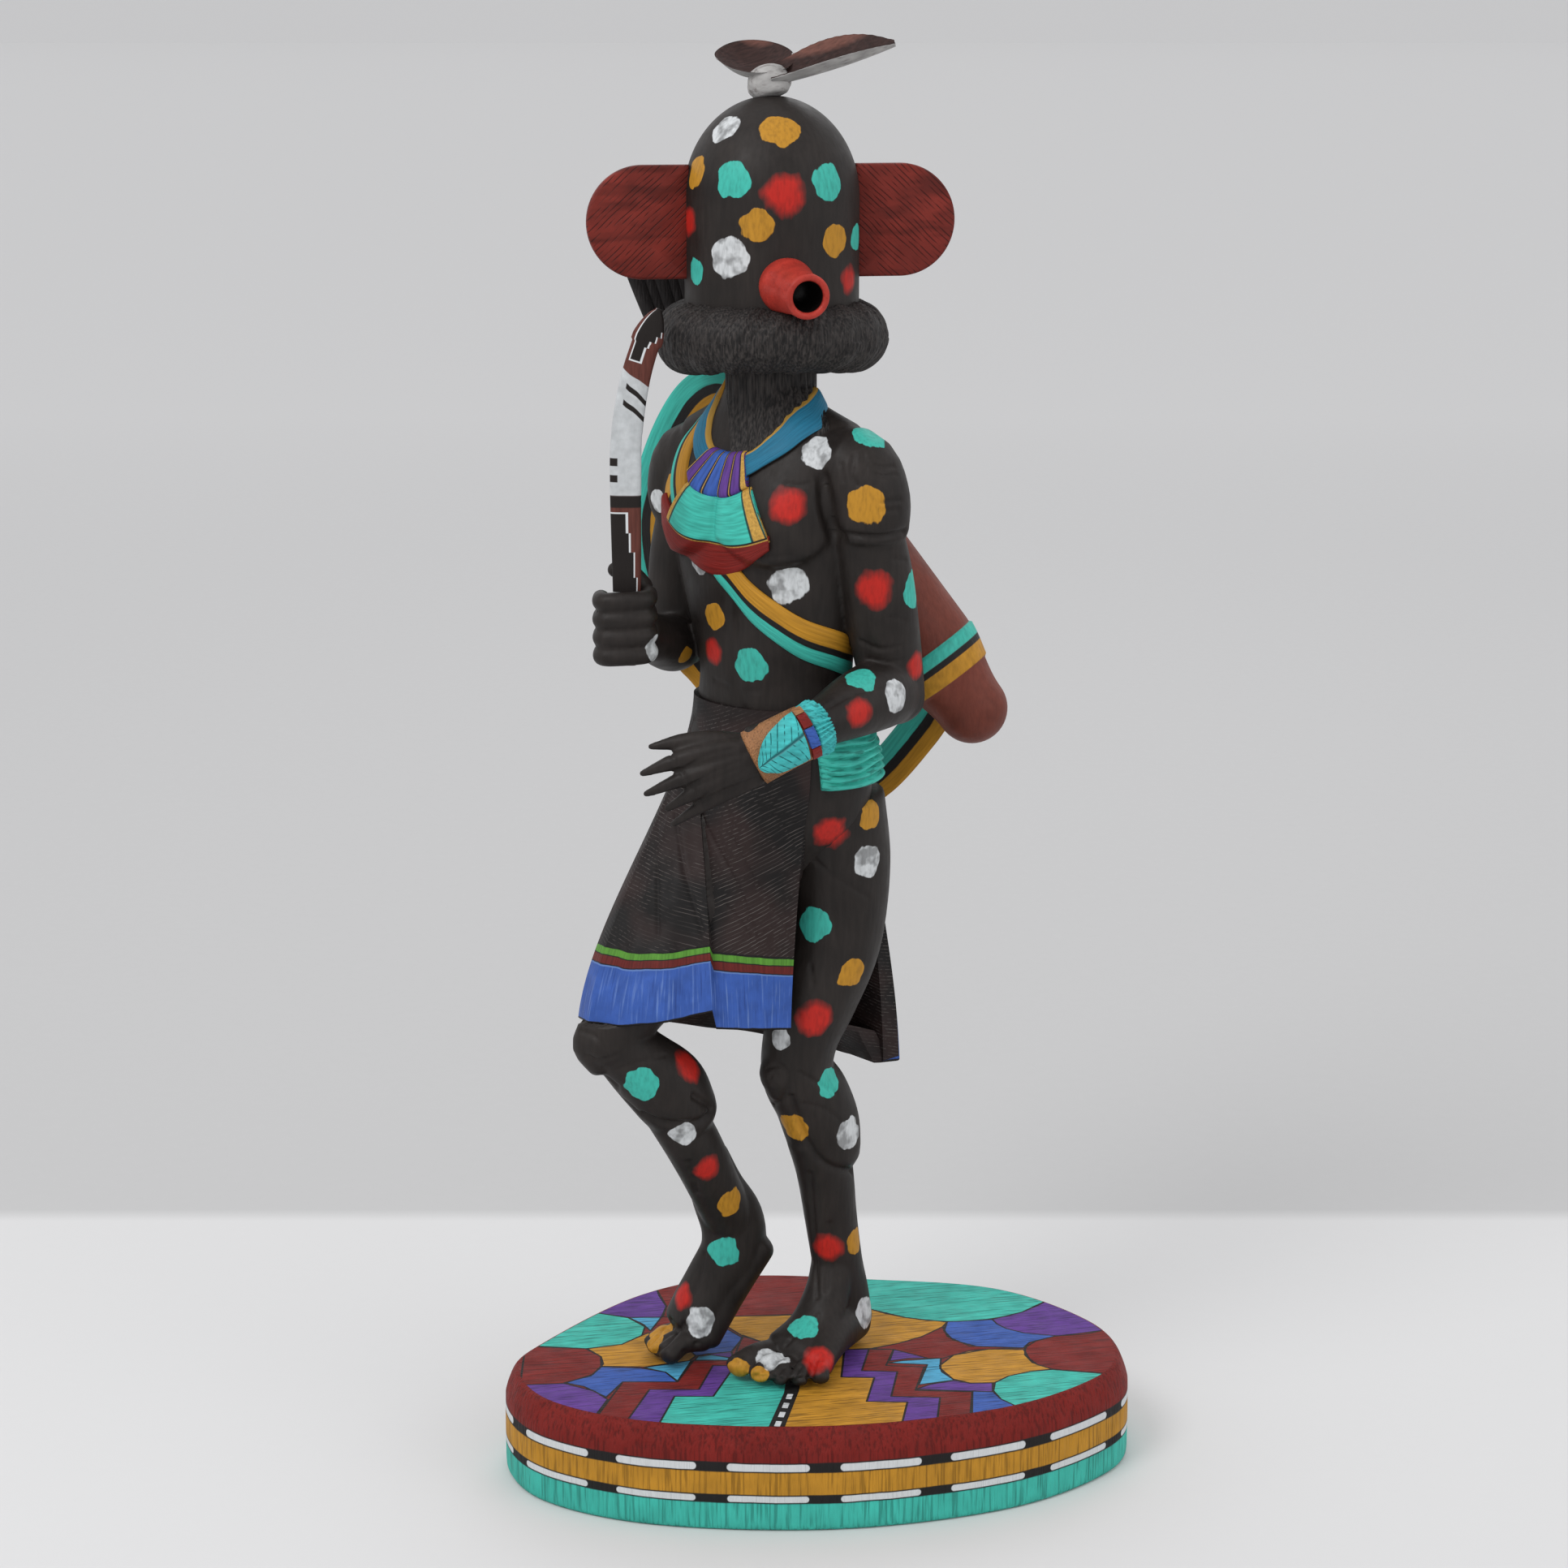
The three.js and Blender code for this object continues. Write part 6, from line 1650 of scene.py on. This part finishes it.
fields = [
    ("maroon", [(-61, 75), (-61, 58), (-56, 39), (-57, 29), (-35, 29), (12, 32), (14, 50), (12, 80)]),
    ("purple", [(-85, 36), (-61, 60), (-59, 49), (-56, 39), (-57.4, 28.7), (-69.7, 28.5), (-80, 32)]),
    ("light_blue", [(-69.7, 28.3), (-57.5, 28.5), (-61, 15.8), (-64, 22)]),
    ("turquoise", [(-104, 2.2), (-84, 33.5), (-69.7, 28), (-63.2, 19.7), (-63.9, 11.9), (-71, 3.5), (-83.9, -0.4)]),
    ("ochre", [(-83.3, -0.4), (-71, 3.5), (-62, 13.9), (-52, 12), (-43.8, -6.9), (-45.8, -10.8),
               (-61.9, -16.6), (-77.4, -15.9), (-78, -7.5)]),
    ("maroon", [(-106, 1.6), (-83.9, -0.4), (-78, -7.5), (-76.8, -14), (-80, -23), (-89.7, -30.8), (-105.2, -32.1)]),
    ("purple", [(-105.2, -32.1), (-89.7, -30.8), (-78.7, -37.3), (-73.6, -44.4), (-77.4, -58.7), (-89, -54.1),
                (-100.7, -41.8)]),
    ("blue", [(-77.4, -16.6), (-63.2, -17.6), (-54.2, -21.1), (-49.6, -29.5), (-69, -29.5), (-74.2, -42.5),
              (-82.6, -33.4), (-89.7, -30.2), (-80.7, -24.4)]),
    ("light_blue", [(-61.9, -17.2), (-45.1, -10.8), (-49.6, -28.9), (-54.2, -21.1)]),
    ("blue", [(-52, 12), (-36, 22), (-27, 9.3), (-30.9, -3), (-39.3, -4.9), (-43.8, -6.9)]),
    ("purple", [(-30.9, -3.2), (-40, -5.4), (-30.3, -8.6)]),
    ("light_blue", [(-43, -7.2), (-38, -6), (-30.3, -9), (-31, -10.6), (-44, -10.6)]),
    ("ochre", [(-35, 29), (-33, 20), (-27, 11), (-18, 4), (-6, 0), (8, -1.5), (20, 0), (30, 4.5), (39, 11),
               (46.7, 19.7), (48.5, 24),
               (33.7, 28.1), (20, 36.5), (12, 33)]),
    ("turquoise", [(12, 80), (14, 50), (20, 36.5), (26, 32), (33.7, 28.1), (41, 25.6), (49.3, 24.6), (56, 25),
                   (63.5, 26.6), (70.5, 29.4),
                   (77, 33.5), (83, 39.5), (92, 50), (60, 80)]),
    ("purple", [(65.4, 26.5), (77, 33.5), (92, 50), (110, 18.4), (98, 12.6), (88, 11.3), (76.4, 13.9),
                (70, 18), (67, 22)]),
    ("blue", [(48.5, 24.4), (47, 15.8), (49.9, 7.4), (58.3, 1.6), (75.1, 0.3), (77.7, 5.4), (88, 11.3),
              (76.4, 13.9), (70, 18), (67, 22),
              (65.4, 26.5), (56, 25)]),
    ("maroon", [(20.2, -0.4), (30, 4.5), (39, 11), (46.7, 19.7), (48, 10.6), (55.7, 2), (76.4, 0.3),
                (62.2, -0.8), (49.3, -6.2), (45.4, -9), (40.2, -9), (27.9, -1)]),
    ("maroon", [(104, -22.4), (84, -18.5), (77.5, -13), (75.2, -6), (75.8, 0.8), (80, 6.5), (86.7, 10.6),
                (110, 17.7), (116, 0)]),
    ("ochre", [(62.8, -30.2), (54, -30.5), (48, -27), (44.5, -21), (44, -15.3), (49.3, -6.2), (55, -2.6),
               (62.2, -0.8), (75.1, -1), (76.4, -9),
               (79, -14.5), (84.2, -18.5), (76, -20.5), (68, -24.5)]),
    ("turquoise", [(69.3, -50.3), (64, -44), (61.8, -37), (62.8, -30.2), (68, -24.5), (76, -20.5),
                   (84.2, -18.9), (102, -22.4), (93, -36), (80, -45)]),
    ("light_blue", [(25.3, -13), (31, -11), (44.7, -9), (44, -18), (48.5, -28), (35.7, -32), (39.5, -14.5)]),
    ("purple", [(27.9, -1), (26, -11.4), (33, -9), (40.2, -9)]),
    ("purple", [(34.6, -35.8), (40, -31.5), (48.5, -28.3), (54, -30.6), (62, -30.4), (61.6, -38)]),
    ("blue", [(54.4, -37.3), (53.1, -58), (69.3, -50.3), (64, -44), (61.8, -38)]),
]
steps_left = [(-27, 12), (-30.3, -10.8), (-44.5, -10.8), (-49.6, -29.5), (-69, -29.5), (-76.8, -59.3)]
steps_left_2 = [(-18, 4), (-22, -15.3), (-37.4, -15.3), (-41.9, -36), (-59.3, -36), (-65.8, -61.2)]
steps_left_3 = [(-12, 1), (-16, -21), (-31, -21), (-36.7, -41.8), (-50.3, -41.8), (-54.8, -64)]
strip_left = [(-9, -1), (-11.5, -38.6), (-17, -67.7)]
strip_right = [(-4, -1), (-7, -37.3), (-12.2, -68.1)]
steps_right_3 = [(10, -1), (8.5, -25.4), (20.2, -25.9), (17, -46.1), (31.2, -46.6), (28.6, -64.8)]
steps_right_2 = [(18.9, -1), (15.9, -19.8), (28.6, -20.7), (25.7, -41.8), (42.8, -42.7), (40.9, -62)]
steps_right = [(27.9, -1), (24.7, -15.3), (38.4, -16.6), (34.4, -36.7), (54.4, -38), (52.5, -58)]
step_lines = [steps_left, steps_left_2, steps_left_3, strip_left, strip_right,
              steps_right_3, steps_right_2, steps_right]
step_tones = ["maroon", "purple", "turquoise", "black", "ochre", "purple", "maroon"]
for tone, one, other in zip(step_tones, step_lines[:-1], step_lines[1:]):
    fields.append((tone, one + other[::-1]))

# %% [markdown]
# One triangulation cuts all outlines into the flat top, then each face takes its colour.

# %% Lay the fields and burned outlines into the flat top
RIM_INSET = 5.6
LINE_WIDTH = 0.75


def outline_strips(outline, width):
    """The burned line round a field, as thin quads."""
    points = np.array(outline + outline[:1], float)
    quads = []
    for a, b in zip(points[:-1], points[1:]):
        d = b - a
        if np.hypot(*d) < 0.3:
            continue
        d = d / np.hypot(*d)
        n = np.array([-d[1], d[0]]) * width / 2
        quads.append([a - n - d * 0.2, b - n + d * 0.2, b + n + d * 0.2, a + n - d * 0.2])
    return quads


def inside(points, polygon):
    """Whether each point lies inside a polygon, by counting the edges to one side of it."""
    x, y = points[:, 0], points[:, 1]
    result = np.zeros(len(points), bool)
    for (x0, y0), (x1, y1) in zip(polygon, polygon[1:] + polygon[:1]):
        crosses = (y0 > y) != (y1 > y)
        with np.errstate(divide="ignore", invalid="ignore"):
            result ^= crosses & (x < (x1 - x0) * (y - y0) / (y1 - y0) + x0)
    return result


rim = plan_ring(BASE_THICK, RIM_INSET)[:, :2]
shapes = [("maroon", rim.tolist())] + fields
for tone, outline in fields:
    shapes += [("burned", [tuple(p) for p in quad]) for quad in outline_strips(outline, LINE_WIDTH)]
for k in range(4):
    share = 0.06 + k * 0.25
    a, b = np.array([-9.3, -38]), np.array([-14.6, -68])
    start, end = a + (b - a) * share, a + (b - a) * (share + 0.14)
    n = np.array([1.0, -0.18]) * 1.0
    shapes.append(("white", [tuple(start - n), tuple(start + n), tuple(end + n), tuple(end - n)]))
verts, loops = [], []
for tone, outline in shapes:
    loops.append(list(range(len(verts), len(verts) + len(outline))))
    verts += [tuple(p) for p in outline]
edges = [(loop_[i], loop_[(i + 1) % len(loop_)]) for loop_ in loops for i in range(len(loop_))]
flat_verts, _, flat_faces, _, _, _ = delaunay_2d_cdt([Vector(v) for v in verts], edges, [], 0, 1e-3)
flat = np.array([tuple(v) for v in flat_verts])
middles = np.array([flat[list(f)].mean(0) for f in flat_faces])
tone_of = np.full(len(flat_faces), "", dtype=object)
for tone, outline in shapes:
    hit = inside(middles, [tuple(p) for p in outline])
    if tone == "maroon" and outline is shapes[0][1]:
        tone_of[hit] = tone
    else:
        tone_of[hit & (tone_of != "")] = tone
kept = [i for i in range(len(flat_faces)) if tone_of[i]]
used, numbers = np.unique(np.concatenate([flat_faces[i] for i in kept]), return_inverse=True)
ends = np.cumsum([len(flat_faces[i]) for i in kept])[:-1]
top_faces = [tuple(part) for part in np.split(numbers.ravel(), ends)]
top_points = np.column_stack([flat[used], np.full(len(used), BASE_THICK + 0.02)])
base_top = make_object("base_top", [(top_points, top_faces)])
print("base top:", len(kept), "faces")

# %% [markdown]
# Every colour is a material of its own on the one mesh, so no field needs a picture.

# %% Paint the fields
names = sorted(set(tone_of[kept]))
base_top.data.materials.clear()
for tone in names:
    colour = (0.012, 0.009, 0.008) if tone == "burned" else PAINTS[tone]
    stretch = (0.05 if tone in ("maroon", "ochre", "turquoise") else 0.06, 1, 1)
    base_top.data.materials.append(stroked_paint("top_" + tone, colour, stretch, 0.6, 0.3, 0.7, 0.6, (0, 0, 0.2)))
slots = np.array([names.index(tone_of[i]) for i in kept], dtype=np.int32)
base_top.data.polygons.foreach_set("material_index", slots)
base_top.data.shade_flat()
hand_over(base_top, "base")

# %% [markdown]
# ## Floor and light
# A wide pale floor fills the frame. Beyond a line behind the base it takes a grey wall tone, which is painted lighter
# with distance as painted light where the lamps fall off.
# One large soft lamp from the upper left shapes the forms, a weaker one fills the right side and a pale sky keeps the
# shadows open.

# %% Floor and lamps
floor_mesh = bpy.data.meshes.new("floor")
floor_mesh.from_pydata([(-60, -60, 0), (60, -60, 0), (60, 40, 0), (-60, 40, 0), (60, 60, 12), (-60, 60, 12)],
                       [], [(0, 1, 2, 3), (3, 2, 4, 5)])
floor = bpy.data.objects.new("floor", floor_mesh)
bpy.context.scene.collection.objects.link(floor)
floor_paint = Paint("floor_paint", 0.8)
deep = floor_paint.axis("Y")
# Painted light: the wall tone is painted lighter with distance, from 0.50 at 0.3 m to 0.63 at 3 m, to make up for the
# lamps' falloff.
far = floor_paint.ramp(deep, 0.3, 3.0)
wall_tone_with_painted_light = floor_paint.mix(far, (0.50, 0.50, 0.50), (0.63, 0.63, 0.63))
floor_tone = floor_paint.mix(floor_paint.ramp(deep, 0.235, 0.222), wall_tone_with_painted_light, (0.64, 0.64, 0.64))
floor_mesh.materials.append(floor_paint.finish(floor_tone))


def lamp(name, place, target, power, size):
    """A round soft lamp that looks at a target."""
    data = bpy.data.lights.new(name, "AREA")
    data.shape = "DISK"
    data.size = size
    data.energy = power
    obj = bpy.data.objects.new(name, data)
    obj.location = place
    obj.rotation_euler = (Vector(target) - Vector(place)).to_track_quat("-Z", "Y").to_euler()
    bpy.context.scene.collection.objects.link(obj)


lamp("key", (-0.8, -0.9, 1.5), (0, 0, 0.25), 10, 0.7)
lamp("fill", (1.2, -0.8, 0.9), (0, 0, 0.25), 2.5, 1.0)
lamp("back", (0.3, 1.2, 1.5), (0, 0, 0.3), 2.5, 1.0)
world = bpy.data.worlds.new("studio")
world.use_nodes = True
world.node_tree.nodes["Background"].inputs["Color"].default_value = (0.985, 0.985, 1.0, 1)
world.node_tree.nodes["Background"].inputs["Strength"].default_value = 0.93
bpy.context.scene.world = world
bpy.context.scene.view_settings.view_transform = "Standard"
